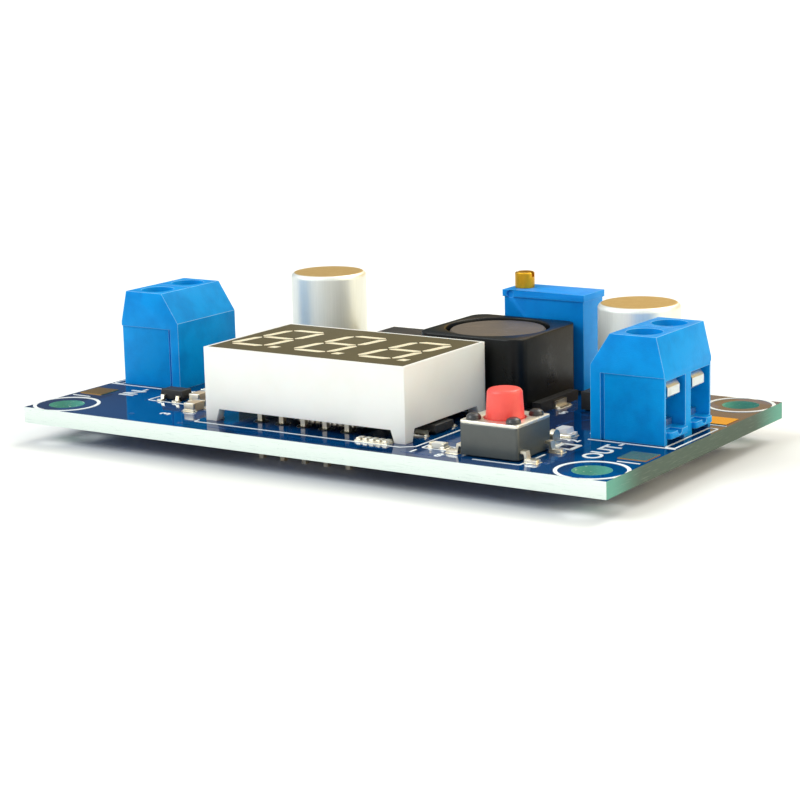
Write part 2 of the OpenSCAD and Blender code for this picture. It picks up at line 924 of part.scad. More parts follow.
module button_rivets() {
    rivet_r = 0.68;
    rivet_h = 0.5;
    inset = 0.95;
    color("gray")
        at_button()
            for (x = [-1, 1], y = [-1, 1])
                translate([x * (button_l / 2 - inset), y * (button_w / 2 - inset), button_h])
                    rotate_extrude()
                        polygon([
                            [0, 0],
                            [rivet_r, 0],
                            [rivet_r, rivet_h * 0.35],
                            [rivet_r * 0.86, rivet_h * 0.75],
                            [rivet_r * 0.55, rivet_h],
                            [0, rivet_h],
                        ]);
}

module button_plunger() {
    stem_r = plunger_d / 2;
    face_r = plunger_face_d / 2;
    round_z = plunger_top - plunger_round;
    boss_r = 0.8;
    boss_z = dome_z + dome_h + plunger_travel + running_play * 2;
    color("tomato")
        at_button()
            rotate_extrude() {
                polygon([
                    [0, boss_z],
                    [boss_r, boss_z],
                    [boss_r, flange_z],
                    [dome_r - dome_play, flange_z],
                    [dome_r - dome_play, flange_z + flange_t],
                    [stem_r, flange_z + flange_t],
                    [stem_r, button_h],
                    [face_r, round_z],
                    [face_r - plunger_round, round_z + plunger_round],
                    [0, round_z + plunger_round],
                ]);
                translate([face_r - plunger_round, round_z])
                    intersection() {
                        circle(plunger_round);
                        square(plunger_round);
                    }
            }
}

module button_dome() {
    t = 0.1;
    crown = 0.2;
    color("gold")
        at_button()
            rotate_extrude()
                polygon(strip([
                    [0, dome_z + dome_h],
                    [crown, dome_z + dome_h],
                    [dome_r * 0.35, dome_z + dome_h * 0.88],
                    [dome_r * 0.7, dome_z + dome_h * 0.5],
                    [dome_r, dome_z + t / 2],
                ], t));
}

module button_legs() {
    t = 0.25;
    w = 0.7;
    inset = 0.75;
    shoulder = 0.45;
    ankle = 0.6;
    reach = 1.6;
    color("silver")
        at_button()
            for (side = [0, 1], y = [-1, 1])
                mirror([side, 0, 0])
                    translate([button_l / 2, y * (button_w / 2 - inset), 0])
                        bent_strip([
                            [0, dome_z - t / 2],
                            [shoulder, dome_z - t / 2],
                            [ankle, t / 2],
                            [reach, t / 2],
                        ], t, w);
}

// Trimmer -------------------------------------------------------------------

module at_trimmer() {
    translate([trimmer_x, trimmer_y, top_z])
        children();
}

trimmer_body_l = trimmer_l - 2 * trimmer_rim;
trimmer_body_w = trimmer_w - 2 * trimmer_rim;
works_l = trimmer_body_l - 2 * trimmer_wall;
works_w = trimmer_body_w - 2 * trimmer_wall;
works_top = trimmer_h - trimmer_rim_h - trimmer_wall;
worm_r = worm_d / 2;
journal_step = 0.2;
journal_r = worm_r + journal_step;
local_screw_x = adjust_x - trimmer_x;
local_wheel_x = wheel_x - trimmer_x;

module trimmer_housing() {
    dimple_r = 0.4;
    dimple_inset = 0.9;
    color("dodgerblue")
        at_trimmer()
            difference() {
                union() {
                    block([trimmer_body_l, trimmer_body_w, trimmer_h - trimmer_lift], [0, 0, trimmer_lift]);
                    block([trimmer_l, trimmer_w, trimmer_rim_h], [0, 0, trimmer_h - trimmer_rim_h]);
                }
                difference() {
                    block([works_l, works_w, works_top - trimmer_lift + press], [0, 0, trimmer_lift - press]);
                    // the wheel's post, standing on the rear wall
                    translate([local_wheel_x, works_w / 2 + eps, wheel_z])
                        rotate([90, 0, 0])
                            cylinder(d = wheel_post_d, h = wheel_t + wheel_room);
                }
                translate([local_screw_x, 0, works_top - press])
                    cylinder(r = journal_r + running_play, h = trimmer_h);
                translate([-trimmer_l / 2 + dimple_inset, -trimmer_w / 2, trimmer_h - trimmer_rim_h * 0.6])
                    rotate([90, 0, 0])
                        cylinder(r = dimple_r, h = dimple_r, center = true);
            }
}

module trimmer_screw() {
    slot_w = 0.45;
    slot_d = 0.5;
    edge = 0.12;
    head_z = trimmer_h + seat_play;
    head_r = adjust_d / 2;
    tip_z = works_z + body_play;
    color("goldenrod")
        at_trimmer()
            translate([local_screw_x, 0, 0])
                difference() {
                    rotate_extrude()
                        polygon([
                            [0, tip_z],
                            [worm_r, tip_z],
                            [worm_r, works_top - edge],
                            [journal_r, works_top],
                            [journal_r, head_z],
                            [head_r, head_z],
                            [head_r, trimmer_h + adjust_h - edge],
                            [head_r - edge, trimmer_h + adjust_h],
                            [0, trimmer_h + adjust_h],
                        ]);
                    block([2 * adjust_d, slot_w, adjust_h], [0, 0, trimmer_h + adjust_h - slot_d]);
                }
}

// The toothed wheel that carries the wiper round the element
module trimmer_wiper_wheel() {
    tooth = 0.22;
    tooth_form = [[0.1, 0], [0.32, 1], [0.68, 1], [0.9, 0]];
    step = 360 / wheel_teeth;
    bore_r = wheel_post_d / 2 + running_play;
    color("ivory")
        at_trimmer()
            translate([local_wheel_x, works_w / 2 - wheel_play, wheel_z])
                rotate([90, 0, 0])
                    difference() {
                        linear_extrude(wheel_t)
                            polygon([
                                for (i = [0 : wheel_teeth - 1], f = tooth_form)
                                    let (
                                        a = (i + f[0]) * step,
                                        r = wheel_r - (1 - f[1]) * tooth
                                    )
                                        [r * cos(a), r * sin(a)]
                            ]);
                        translate([0, 0, -press])
                            cylinder(r = bore_r, h = wheel_t + 2 * press);
                    }
}

module trimmer_element() {
    element_l = works_l - adjust_inset - element_gap;
    color("whitesmoke")
        at_trimmer()
            block(
                [element_l, element_t, works_top - works_z - 2 * body_play],
                [
                    works_l / 2 - element_l / 2 - seat_play,
                    -works_w / 2 + element_t / 2 + seat_play,
                    works_z,
                ]
            );
}

module trimmer_foot() {
    color("steelblue")
        at_trimmer()
            difference() {
                block(
                    [works_l - 2 * seat_play, works_w - 2 * seat_play, works_z - trimmer_lift],
                    [0, 0, trimmer_lift]
                );
                for (p = TRIMMER_PINS)
                    translate([p[0] - trimmer_x, p[1] - trimmer_y, -press])
                        cylinder(d = trimmer_pin_d, h = trimmer_foot_h + press);
            }
}

module trimmer_pins() {
    color("silver")
        for (p = TRIMMER_PINS)
            translate([p[0], p[1], 0])
                cylinder(d = trimmer_pin_d, h = top_z + trimmer_foot_h);
}

// Inductor ------------------------------------------------------------------

module at_coil() {
    translate([coil_x, coil_y, top_z])
        children();
}

drum_z = coil_base_t;
drum_top = coil_h - drum_sink;

module inductor_shield() {
    color("darkslategray")
        at_coil()
            difference() {
                translate([0, 0, coil_base_t])
                    rounded_plate(coil_s, coil_s, coil_h - coil_base_t, coil_corner_r);
                translate([0, 0, -press])
                    cylinder(d = coil_well_d, h = coil_h + 2 * press);
            }
}

module inductor_drum() {
    r = drum_d / 2;
    edge = 0.15;
    color("dimgray")
        at_coil()
            rotate_extrude()
                polygon([
                    [0, drum_z],
                    [r, drum_z],
                    [r, drum_z + drum_flange_t],
                    [drum_core_d / 2, drum_z + drum_flange_t],
                    [drum_core_d / 2, drum_top - drum_flange_t],
                    [r, drum_top - drum_flange_t],
                    [r, drum_top - edge],
                    [r - edge, drum_top],
                    [0, drum_top],
                ]);
}

module inductor_winding() {
    wire_d = 0.5;
    dip = 0.12;
    layers_r = drum_d / 2 - 0.35;
    low = drum_z + drum_flange_t;
    room = drum_top - drum_flange_t - low;
    turns = floor(room / wire_d);
    pitch = room / turns;
    core_r = drum_core_d / 2;
    color("peru")
        at_coil()
            rotate_extrude()
                polygon(concat(
                    [[core_r, low]],
                    [
                        for (i = [0 : turns - 1], f = [[0.08, -dip], [0.3, 0], [0.7, 0], [0.92, -dip]])
                            [layers_r + f[1], low + (i + f[0]) * pitch]
                    ],
                    [[core_r, low + room]]
                ));
}

module inductor_base() {
    color("black")
        at_coil() {
            rounded_plate(coil_s, coil_s, coil_base_t, coil_corner_r);
            block([coil_s + 2 * coil_ear, coil_ear_w, coil_base_t], [0, 0, 0]);
            for (side = [-1, 1])
                block(
                    [coil_ear - seat_play, coil_ear_w, coil_ear_h],
                    [side * (coil_s + coil_ear + seat_play) / 2, 0, 0]
                );
        }
}

module inductor_contacts() {
    t = 0.2;
    w = 2.2;
    reach = 0.5;
    rise = 0.7;
    contact_x = coil_s / 2 + coil_ear + t / 2;
    color("silver")
        at_coil()
            for (side = [0, 1])
                mirror([side, 0, 0])
                    bent_strip([
                        [contact_x + reach, t / 2],
                        [contact_x, t / 2],
                        [contact_x, rise],
                    ], t, w);
}

// Capacitors ----------------------------------------------------------------

module at_cans() {
    for (p = CANS)
        translate([p[0], p[1], top_z])
            children();
}

can_foot = 0.5;

module capacitor_cans() {
    r = can_d / 2;
    groove_rise = 0.9;
    groove_z = can_base_h + groove_rise;
    groove = 0.35;
    foot_edge = 0.25;
    color("silver")
        at_cans()
            rotate_extrude() {
                polygon([
                    [0, can_foot],
                    [r - foot_edge, can_foot],
                    [r, can_foot + foot_edge],
                    [r, groove_z - groove],
                    [r - groove, groove_z],
                    [r, groove_z + groove],
                    [r, can_h - can_round],
                    [r - can_round, can_h],
                    [0, can_h],
                ]);
                translate([r - can_round, can_h - can_round])
                    intersection() {
                        circle(can_round);
                        square(can_round);
                    }
            }
}

module capacitor_bases() {
    half = base_s / 2;
    corner = 1.6;
    lift = 0.12;
    floor_t = 0.55;
    scallop = 1;
    color("black")
        at_cans()
            difference() {
                translate([0, 0, lift])
                    linear_extrude(can_base_h - lift)
                        polygon([
                            [-half, -half],
                            [half - corner, -half],
                            [half, -half + corner],
                            [half, half - corner],
                            [half - corner, half],
                            [-half, half],
                        ]);
                translate([0, 0, can_foot])
                    cylinder(r = can_d / 2 + seat_play, h = can_base_h);
                // scallops that leave the can open between the corner posts
                for (a = [0 : 90 : 270])
                    rotate([0, 0, a])
                        block([can_d * 0.6, 2 * scallop, can_base_h], [0, half, can_foot + floor_t]);
            }
}

module capacitor_contacts() {
    t = 0.12;
    w = 0.9;
    inner = 1.4;
    reach = 0.6;
    l = base_s / 2 + reach - inner;
    color("silver")
        at_cans()
            for (side = [-1, 1])
                block([l, w, t], [side * (inner + l / 2), 0, 0]);
}

// Regulator -----------------------------------------------------------------

module at_regulator() {
    translate([reg_x, reg_y, top_z])
        children();
}

reg_lead_count = 5;
reg_lead_z = 2.5;
reg_body_z = 0.1;

module regulator_body() {
    draft = 0.35;
    half = reg_w / 2;
    mark_r = 0.8;
    mark_d = 0.12;
    color("black")
        at_regulator()
            rotate([0, 0, 90])
                difference() {
                    slab([
                        [-half, reg_body_z],
                        [half, reg_body_z],
                        [half, tab_t],
                        [half - draft, reg_h],
                        [-half + draft, reg_h],
                        [-half, reg_lead_z],
                    ], reg_l);
                    // seat of the cooling tab
                    block([reg_w, reg_l - tab_narrowing, 2 * tab_t], [tab_seat, 0, -tab_t]);
                    // ejector mark
                    translate([half - 2 * mark_r, 0, reg_h - mark_d])
                        cylinder(r = mark_r, h = press);
                }
}

module regulator_tab() {
    notch = 1.1;
    seat_l = reg_w - tab_seat;
    color("silver")
        at_regulator()
            difference() {
                union() {
                    block(
                        [reg_l - tab_narrowing, seat_l + tab_l / 2, tab_t],
                        [0, (reg_w - seat_l + tab_l / 2) / 2, 0]
                    );
                    block([reg_l, tab_l, tab_t], [0, reg_w / 2 + tab_l / 2, 0]);
                }
                for (side = [-1, 1])
                    translate([side * reg_l / 2, reg_w / 2 + tab_l, -press])
                        cylinder(r = notch, h = tab_t + 2 * press);
            }
}

module regulator_leads() {
    t = 0.4;
    shoulder = 1;
    ankle = 2;
    reach = 4;
    color("silver")
        at_regulator()
            for (i = [0 : reg_lead_count - 1])
                translate([(i - (reg_lead_count - 1) / 2) * reg_lead_pitch, -reg_w / 2, 0])
                    rotate([0, 0, -90])
                        bent_strip([
                            [0, reg_lead_z],
                            [shoulder, reg_lead_z],
                            [ankle, t / 2],
                            [reach, t / 2],
                        ], t, reg_lead_w);
}

// Small parts ---------------------------------------------------------------

module at_spot(spot, turn) {
    translate([spot[0], spot[1], top_z])
        rotate([0, 0, turn])
            children();
}

// Moulded body with drafted ends, flat on contacts of thickness t
module moulded(l, w, h, t) {
    waist = h * 0.45;
    draft = 0.15;
    slab([
        [-l / 2 + draft, t],
        [l / 2 - draft, t],
        [l / 2, waist],
        [l / 2 - draft, h],
        [-l / 2 + draft, h],
        [-l / 2, waist],
    ], w);
}

// Two contacts that wrap under a moulded body from its waist
module wrapped_contacts(l, w, h, t) {
    reach = 0.25;
    fold = 1;
    for (side = [0, 1])
        mirror([side, 0, 0])
            bent_strip([
                [l / 2 - fold, t / 2],
                [l / 2 + reach, t / 2],
                [l / 2 + reach, h * 0.45],
                [l / 2, h * 0.45],
            ], t, w);
}

fly_t = 0.25;
fly_contact_w = 3;
module flywheel_diode_body() {
    line_w = 0.5;
    line_inset = 1.1;
    line_d = 0.06;
    color("black")
        at_spot(fly_at, 0)
            difference() {
                moulded(fly_l, fly_w, fly_h, fly_t);
                // cathode line
                block([line_w, fly_w * 0.9, press], [-fly_l / 2 + line_inset, 0, fly_h - line_d]);
            }
}

module flywheel_diode_contacts() {
    color("silver")
        at_spot(fly_at, 0)
            wrapped_contacts(fly_l, fly_contact_w, fly_h, fly_t);
}

flat_t = 0.15;
module flat_diode_body() {
    color("black")
        at_spot(flat_at, 90)
            moulded(flat_l, flat_w, flat_h, flat_t);
}

module flat_diode_contacts() {
    shoulder = 0.3;
    ankle = 0.45;
    reach = 1;
    w = 1.4;
    color("silver")
        at_spot(flat_at, 90)
            for (side = [0, 1])
                mirror([side, 0, 0])
                    bent_strip([
                        [flat_l / 2, flat_h * 0.45],
                        [flat_l / 2 + shoulder, flat_h * 0.45],
                        [flat_l / 2 + ankle, flat_t / 2],
                        [flat_l / 2 + reach, flat_t / 2],
                    ], flat_t, w);
}

cap_l = 0.45;
module glass_diode_body() {
    color("royalblue")
        at_spot(glass_at, 0)
            translate([0, 0, glass_d / 2])
                rotate([0, 90, 0])
                    cylinder(d = glass_d * 0.9, h = glass_l - 2 * cap_l, center = true);
}

module glass_diode_caps() {
    color("silver")
        at_spot(glass_at, 0)
            for (side = [-1, 1])
                translate([side * (glass_l - cap_l) / 2, 0, glass_d / 2])
                    rotate([0, 90, 0])
                        cylinder(d = glass_d, h = cap_l, center = true);
}

lamp_l = 2;
lamp_w = 1.25;
lamp_base_t = 0.35;
module indicator_body() {
    t = lamp_base_t;
    notch_r = 0.25;
    color("white")
        at_spot(lamp_at, 0)
            difference() {
                block([lamp_l, lamp_w, t], [0, 0, 0]);
                for (side = [-1, 1])
                    translate([side * lamp_l / 2, 0, -press])
                        cylinder(r = notch_r, h = t + 2 * press);
            }
}

module indicator_lens() {
    half = 0.65;
    draft = 0.1;
    h = 0.45;
    color("honeydew")
        at_spot(lamp_at, 0)
            translate([0, 0, lamp_base_t])
                slab([
                    [-half, 0],
                    [half, 0],
                    [half - draft, h],
                    [-half + draft, h],
                ], lamp_w);
}

leg_pitch = 0.65;
module controller_body() {
    lift = 0.08;
    mark_r = 0.3;
    mark_inset = 0.7;
    color("black")
        at_spot(controller_at, 0)
            difference() {
                block([controller_l, controller_w, controller_h - lift], [0, 0, lift]);
                translate([
                    -controller_l / 2 + mark_inset,
                    -controller_w / 2 + mark_inset,
                    controller_h - lift,
                ])
                    cylinder(r = mark_r, h = press);
            }
}

module controller_legs() {
    t = 0.15;
    w = 0.26;
    leg_z = 0.5;
    shoulder = 0.25;
    ankle = 0.4;
    reach = 1;
    color("silver")
        at_spot(controller_at, 0)
            for (side = [0, 1], i = [0 : controller_leads - 1])
                mirror([0, side, 0])
                    translate([(i - (controller_leads - 1) / 2) * leg_pitch, controller_w / 2, 0])
                        rotate([0, 0, 90])
                            bent_strip([
                                [0, leg_z],
                                [shoulder, leg_z],
                                [ankle, t / 2],
                                [reach, t / 2],
                            ], t, w);
}

module logic_supply_body() {
    color("black")
        at_spot(supply_at, 0)
            moulded(supply_l, supply_w, supply_h, supply_lift);
}

module logic_supply_legs() {
    t = 0.15;
    w = 0.4;
    half_pitch = 0.95;
    leg_z = 0.5;
    shoulder = 0.2;
    ankle = 0.35;
    reach = 0.75;
    color("silver")
        at_spot(supply_at, 0)
            for (leg = [[-half_pitch, 0], [half_pitch, 0], [0, 1]])
                mirror([0, leg[1], 0])
                    translate([leg[0], -supply_w / 2, 0])
                        rotate([0, 0, -90])
                            bent_strip([
                                [0, leg_z],
                                [shoulder, leg_z],
                                [ankle, t / 2],
                                [reach, t / 2],
                            ], t, w);
}

end_l = 0.3;
module chip_body(l, w, h) {
    block([l - 2 * end_l, w, h], [0, 0, 0]);
}

module chip_ends(l, w, h) {
    for (side = [-1, 1])
        block([end_l, w, h], [side * (l - end_l) / 2, 0, 0]);
}

module at_row() {
    for (i = [0 : row_count - 1])
        at_spot([row_x + (i - (row_count - 1) / 2) * row_pitch, row_y], 90)
            children();
}

row_l = 1;
row_w = 0.5;
row_h = 0.35;
module resistor_bodies() {
    color("ivory") {
        for (p = RESISTORS)
            at_spot(p, p[2])
                chip_body(chip_l, chip_w, chip_h);
        at_row()
            chip_body(row_l, row_w, row_h);
    }
}

module resistor_ends() {
    color("silver") {
        for (p = RESISTORS)
            at_spot(p, p[2])
                chip_ends(chip_l, chip_w, chip_h);
        at_row()
            chip_ends(row_l, row_w, row_h);
    }
}

module chip_capacitor_bodies() {
    color("tan")
        for (p = CHIP_CAPACITORS)
            at_spot(p, p[2])
                chip_body(chip_cap_l, chip_cap_w, chip_cap_h);
}

module chip_capacitor_ends() {
    color("silver")
        for (p = CHIP_CAPACITORS)
            at_spot(p, p[2])
                chip_ends(chip_cap_l, chip_cap_w, chip_cap_h);
}

circuit_board();
wire_pads();
solder_joints();
in_terminal_housing();
in_terminal_clamps();
in_front_leaf();
in_front_screw();
in_rear_leaf();
in_rear_screw();
out_terminal_housing();
out_terminal_clamps();
out_front_leaf();
out_front_screw();
out_rear_leaf();
out_rear_screw();
display_shell();
display_face();
display_light_bars();
display_carrier();
display_pins();
button_base();
button_cover();
button_rivets();
button_plunger();
button_dome();
button_legs();
trimmer_housing();
trimmer_screw();
trimmer_wiper_wheel();
trimmer_element();
trimmer_foot();
trimmer_pins();
inductor_shield();
inductor_drum();
inductor_winding();
inductor_base();
inductor_contacts();
capacitor_cans();
capacitor_bases();
capacitor_contacts();
regulator_body();
regulator_tab();
regulator_leads();
flywheel_diode_body();
flywheel_diode_contacts();
flat_diode_body();
flat_diode_contacts();
glass_diode_body();
glass_diode_caps();
indicator_body();
indicator_lens();
controller_body();
controller_legs();
logic_supply_body();
logic_supply_legs();
resistor_bodies();
resistor_ends();
chip_capacitor_bodies();
chip_capacitor_ends();
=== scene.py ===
"""Dresses the step-down converter module: finishes, solder, printed lines, light and camera."""

import logging
import math
from dataclasses import dataclass, field
from enum import Enum
from typing import Any, Callable, Iterable, Optional, Sequence, Union

import bmesh
import bpy
from mathutils import Matrix, Vector


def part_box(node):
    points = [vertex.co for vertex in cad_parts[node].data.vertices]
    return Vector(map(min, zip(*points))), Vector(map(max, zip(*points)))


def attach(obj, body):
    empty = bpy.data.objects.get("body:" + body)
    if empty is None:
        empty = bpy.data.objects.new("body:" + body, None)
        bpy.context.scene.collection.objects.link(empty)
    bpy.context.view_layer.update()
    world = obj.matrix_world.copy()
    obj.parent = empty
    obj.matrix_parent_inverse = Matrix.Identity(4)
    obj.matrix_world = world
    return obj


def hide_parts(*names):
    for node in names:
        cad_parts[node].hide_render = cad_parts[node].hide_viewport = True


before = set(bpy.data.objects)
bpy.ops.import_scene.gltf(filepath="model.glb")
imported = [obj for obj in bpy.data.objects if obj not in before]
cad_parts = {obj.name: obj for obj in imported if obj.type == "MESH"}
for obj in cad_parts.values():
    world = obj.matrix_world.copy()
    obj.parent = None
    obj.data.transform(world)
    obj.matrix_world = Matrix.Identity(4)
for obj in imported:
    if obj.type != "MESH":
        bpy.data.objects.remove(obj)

log = logging.getLogger("converter")

MM = 0.001
BOARD_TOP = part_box("circuit_board")[1].z / MM
HALF_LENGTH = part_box("circuit_board")[1].x / MM
HALF_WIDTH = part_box("circuit_board")[1].y / MM

Colour = tuple[float, float, float]
Point = tuple[float, float]
Value = Union["Wire", float, int, Sequence[float], str]


def linear(red: int, green: int, blue: int) -> Colour:
    """Turns a display colour into the linear one that shaders use.

    Args:
        red: Red, 0 to 255.
        green: Green, 0 to 255.
        blue: Blue, 0 to 255.

    Returns:
        The linear colour.
    """

    def channel(value: int) -> float:
        """One channel, by the usual display curve."""
        part = value / 255
        return part / 12.92 if part <= 0.04045 else ((part + 0.055) / 1.055) ** 2.4

    return channel(red), channel(green), channel(blue)


def corners(node: str) -> tuple[Vector, Vector]:
    """Finds a CAD node's box.

    Args:
        node: The node's name.

    Returns:
        Its lowest and highest corners, in millimetres.
    """
    low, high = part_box(node)
    return low / MM, high / MM


def shown(name: str, data: Any) -> Any:
    """Makes an object and links it into the scene.

    Args:
        name: Its name.
        data: Its mesh, curve, lamp or camera.

    Returns:
        The object.
    """
    made = bpy.data.objects.new(name, data)
    bpy.context.scene.collection.objects.link(made)
    return made


def settled(stand: Any) -> bpy.types.Mesh:
    """Turns an object's modifiers or curves into a plain mesh, and removes the object.

    Args:
        stand: The object.

    Returns:
        The mesh.
    """
    ready = stand.evaluated_get(bpy.context.evaluated_depsgraph_get())
    mesh = bpy.data.meshes.new_from_object(ready)
    bpy.data.objects.remove(stand)
    return mesh


def direction(turn: float, rise: float) -> Vector:
    """Where a thing stands round the module.

    Args:
        turn: Degrees round from the board's display side.
        rise: Degrees up.

    Returns:
        The unit vector towards it.
    """
    around, up = math.radians(turn), math.radians(rise)
    level = Vector((math.sin(around), -math.cos(around), 0.0))
    return level * math.cos(up) + Vector((0.0, 0.0, math.sin(up)))


def maths(operation: str, turned: bool = False) -> Callable[["Wire", Value], "Wire"]:
    """Makes an operator of a wire, which adds one Math node.

    Args:
        operation: The node's operation.
        turned: Whether the wire is the second value, as in a reflected operator.

    Returns:
        The method.
    """

    def method(self: "Wire", other: Value) -> "Wire":
        """The two values through the node."""
        first, second = (other, self) if turned else (self, other)
        return self.sheet.node("ShaderNodeMath", {"operation": operation}, {0: first, 1: second})

    return method


@dataclass(frozen=True)
class Wire:
    """An output socket in a node tree, whose arithmetic adds Math nodes."""

    sheet: "Sheet"
    socket: Any

    __add__ = __radd__ = maths("ADD")
    __sub__, __rsub__ = maths("SUBTRACT"), maths("SUBTRACT", turned=True)
    __mul__ = __rmul__ = maths("MULTIPLY")
    __truediv__, __rtruediv__ = maths("DIVIDE"), maths("DIVIDE", turned=True)
    __gt__ = maths("GREATER_THAN")
    __lt__ = maths("LESS_THAN")

    def __abs__(self) -> "Wire":
        """The absolute value."""
        return maths("ABSOLUTE")(self, 0.0)

    def soft(self, low: float, high: float) -> "Wire":
        """A smooth step.

        Args:
            low: Where the step starts, at 0.
            high: Where it ends, at 1.

        Returns:
            The stepped value.
        """
        return self.sheet.node(
            "ShaderNodeMapRange",
            {"interpolation_type": "SMOOTHSTEP"},
            {"Value": self, "From Min": low, "From Max": high},
        )

    def part(self, axis: str) -> "Wire":
        """One component, X, Y or Z, of a vector."""
        return self.sheet.node("ShaderNodeSeparateXYZ", {}, {0: self}, output=axis)


class Sheet:
    """A node tree being drawn up, for a material or for geometry."""

    def __init__(self, tree: Any) -> None:
        """Takes the tree to draw in."""
        self.tree = tree

    def node(
        self,
        kind: str,
        settings: Optional[dict[str, Any]] = None,
        inputs: Optional[dict[Union[str, int], Value]] = None,
        output: Union[str, int] = 0,
    ) -> Wire:
        """Adds any node.

        Args:
            kind: The node's type.
            settings: Its properties, set first; stops holds a ramp's positions and colours.
            inputs: Values or links for its sockets, by name or place.
            output: The output that the wire starts from.

        Returns:
            The chosen output.
        """
        made = self.tree.nodes.new(kind)
        for name, value in (settings or {}).items():
            if name == "stops":
                while len(made.color_ramp.elements) < len(value):
                    made.color_ramp.elements.new(1.0)
                for element, (place, colour) in zip(made.color_ramp.elements, value):
                    element.position = place
                    element.color = (*colour, 1.0)
            else:
                setattr(made, name, value)
        for name, value in (inputs or {}).items():
            self.plug(made.inputs[name], value)
        return Wire(self, made.outputs[output])

    def plug(self, target: Any, value: Value) -> None:
        """Links a wire to a socket, or sets the socket's own value.

        Args:
            target: The socket.
            value: The wire, number, vector, colour or text.
        """
        if isinstance(value, Wire):
            self.tree.links.new(value.socket, target)
        elif isinstance(value, (tuple, list)) and target.type == "RGBA" and len(value) == 3:
            target.default_value = (*value, 1.0)
        else:
            target.default_value = value

    def place(self) -> Wire:
        """The point's place in the shared frame, in millimetres."""
        spot = self.node("ShaderNodeTexCoord", {}, {}, output="Object")
        return self.node(
            "ShaderNodeVectorMath", {"operation": "SCALE"}, {0: spot, "Scale": 1 / MM}
        )

    def facing_up(self) -> Wire:
        """How far the face looks up: 1 up, 0 upright, -1 down."""
        return self.node("ShaderNodeNewGeometry", {}, {}, output="Normal").part("Z")

    def stretched(self, spot: Wire, by: Sequence[float]) -> Wire:
        """The place multiplied along each axis."""
        return self.node("ShaderNodeVectorMath", {"operation": "MULTIPLY"}, {0: spot, 1: by})

    def noise(self, spot: Wire, size: float, detail: float = 3.0, rough: float = 0.55) -> Wire:
        """Soft noise.

        Args:
            spot: Where it is read, in millimetres.
            size: The size of its lumps, in millimetres.
            detail: Its finer layers.
            rough: The strength of those layers.

        Returns:
            The noise, about 0.5.
        """
        return self.node(
            "ShaderNodeTexNoise",
            {},
            {"Vector": spot, "Scale": 1 / size, "Detail": detail, "Roughness": rough},
            output="Fac",
        )

    def mix(self, share: Value, first: Value, second: Value) -> Wire:
        """Mixes two colours.

        Args:
            share: How much of the second, from 0 to 1.
            first: The first colour.
            second: The second colour.

        Returns:
            The mixed colour.
        """
        return self.node(
            "ShaderNodeMix", {"data_type": "RGBA"}, {0: share, 6: first, 7: second}, output=2
        )

    def bump(self, height: Value, depth: float, strength: float = 1.0) -> Wire:
        """A normal bent by a height, whose full swing is depth millimetres."""
        return self.node(
            "ShaderNodeBump", {}, {"Height": height, "Distance": depth * MM, "Strength": strength}
        )


@dataclass(frozen=True)
class Finish:
    """The common part of every finish: one principled shader with constant settings."""

    name: str
    colour: Colour
    rough: float = 0.45
    metal: float = 0.0
    coat: float = 0.0
    coat_rough: float = 0.08
    inner_glow: float = 0.0
    ior: float = 1.5

    def material(self) -> bpy.types.Material:
        """Builds the material once.

        Returns:
            The same material each time.
        """
        known = bpy.data.materials.get(self.name)
        if known:
            return known
        made = bpy.data.materials.new(self.name)
        made.use_nodes = True
        sheet = Sheet(made.node_tree)
        shader = made.node_tree.nodes["Principled BSDF"]
        constants: dict[str, Value] = {
            "Base Color": self.colour,
            "Roughness": self.rough,
            "Metallic": self.metal,
            "IOR": self.ior,
            "Coat Weight": self.coat,
            "Coat Roughness": self.coat_rough,
            "Subsurface Weight": self.inner_glow,
        }
        if self.inner_glow:
            constants["Subsurface Radius"] = (0.6, 0.9, 1.0)
            constants["Subsurface Scale"] = 0.8 * MM
        constants.update(self.constants())
        for name, value in {**constants, **self.paint(sheet)}.items():
            sheet.plug(shader.inputs[name], value)
        return made

    def constants(self) -> dict[str, Value]:
        """Further settings that are the same all over."""
        return {}

    def paint(self, sheet: Sheet) -> dict[str, Value]:
        """What varies over the surface.

        Args:
            sheet: The material's tree.

        Returns:
            A value for each socket that varies.
        """
        return {}


@dataclass(frozen=True)
class Moulding(Finish):
    """Moulded plastic: faint flow marks, fine grain, a slightly uneven gloss and painted
    highlights on convex edges.
    """

    shade: Colour = (0.0, 0.0, 0.0)
    flow: float = 2.2
    grain: float = 0.09
    depth: float = 0.006
    shade_share: float = 0.35
    rim: Colour = (0.5, 0.5, 0.5)
    rim_highlight_share: float = 0.0

    def paint(self, sheet: Sheet) -> dict[str, Value]:
        """Clouds of the shade colour, a fine bump, patches of gloss and a painted highlight on
        convex edges.

        Args:
            sheet: The material's tree.

        Returns:
            A value for each socket that varies.
        """
        spot = sheet.place()
        cloud = sheet.noise(spot, self.flow, 4.0)
        fine = sheet.noise(spot, self.grain, 2.0)
        share = cloud.soft(0.35, 0.75) * self.shade_share + (fine - 0.5) * 0.12
        body = sheet.mix(share, self.colour, self.shade)
        # Painted highlight: bevel faces of convex edges are painted paler towards the rim colour,
        # as if light caught them.
        if self.rim_highlight_share:
            edge = sheet.node("ShaderNodeAttribute", {"attribute_name": "rim"}, {}, output="Fac")
            paler_tone = edge * self.rim_highlight_share * (0.6 + fine * 0.8)
            body = sheet.mix(paler_tone, body, self.rim)
        return {
            "Base Color": body,
            "Roughness": self.rough + (cloud - 0.5) * 0.16 + (fine - 0.5) * 0.08,
            "Normal": sheet.bump(fine + cloud * 0.6, self.depth),
        }


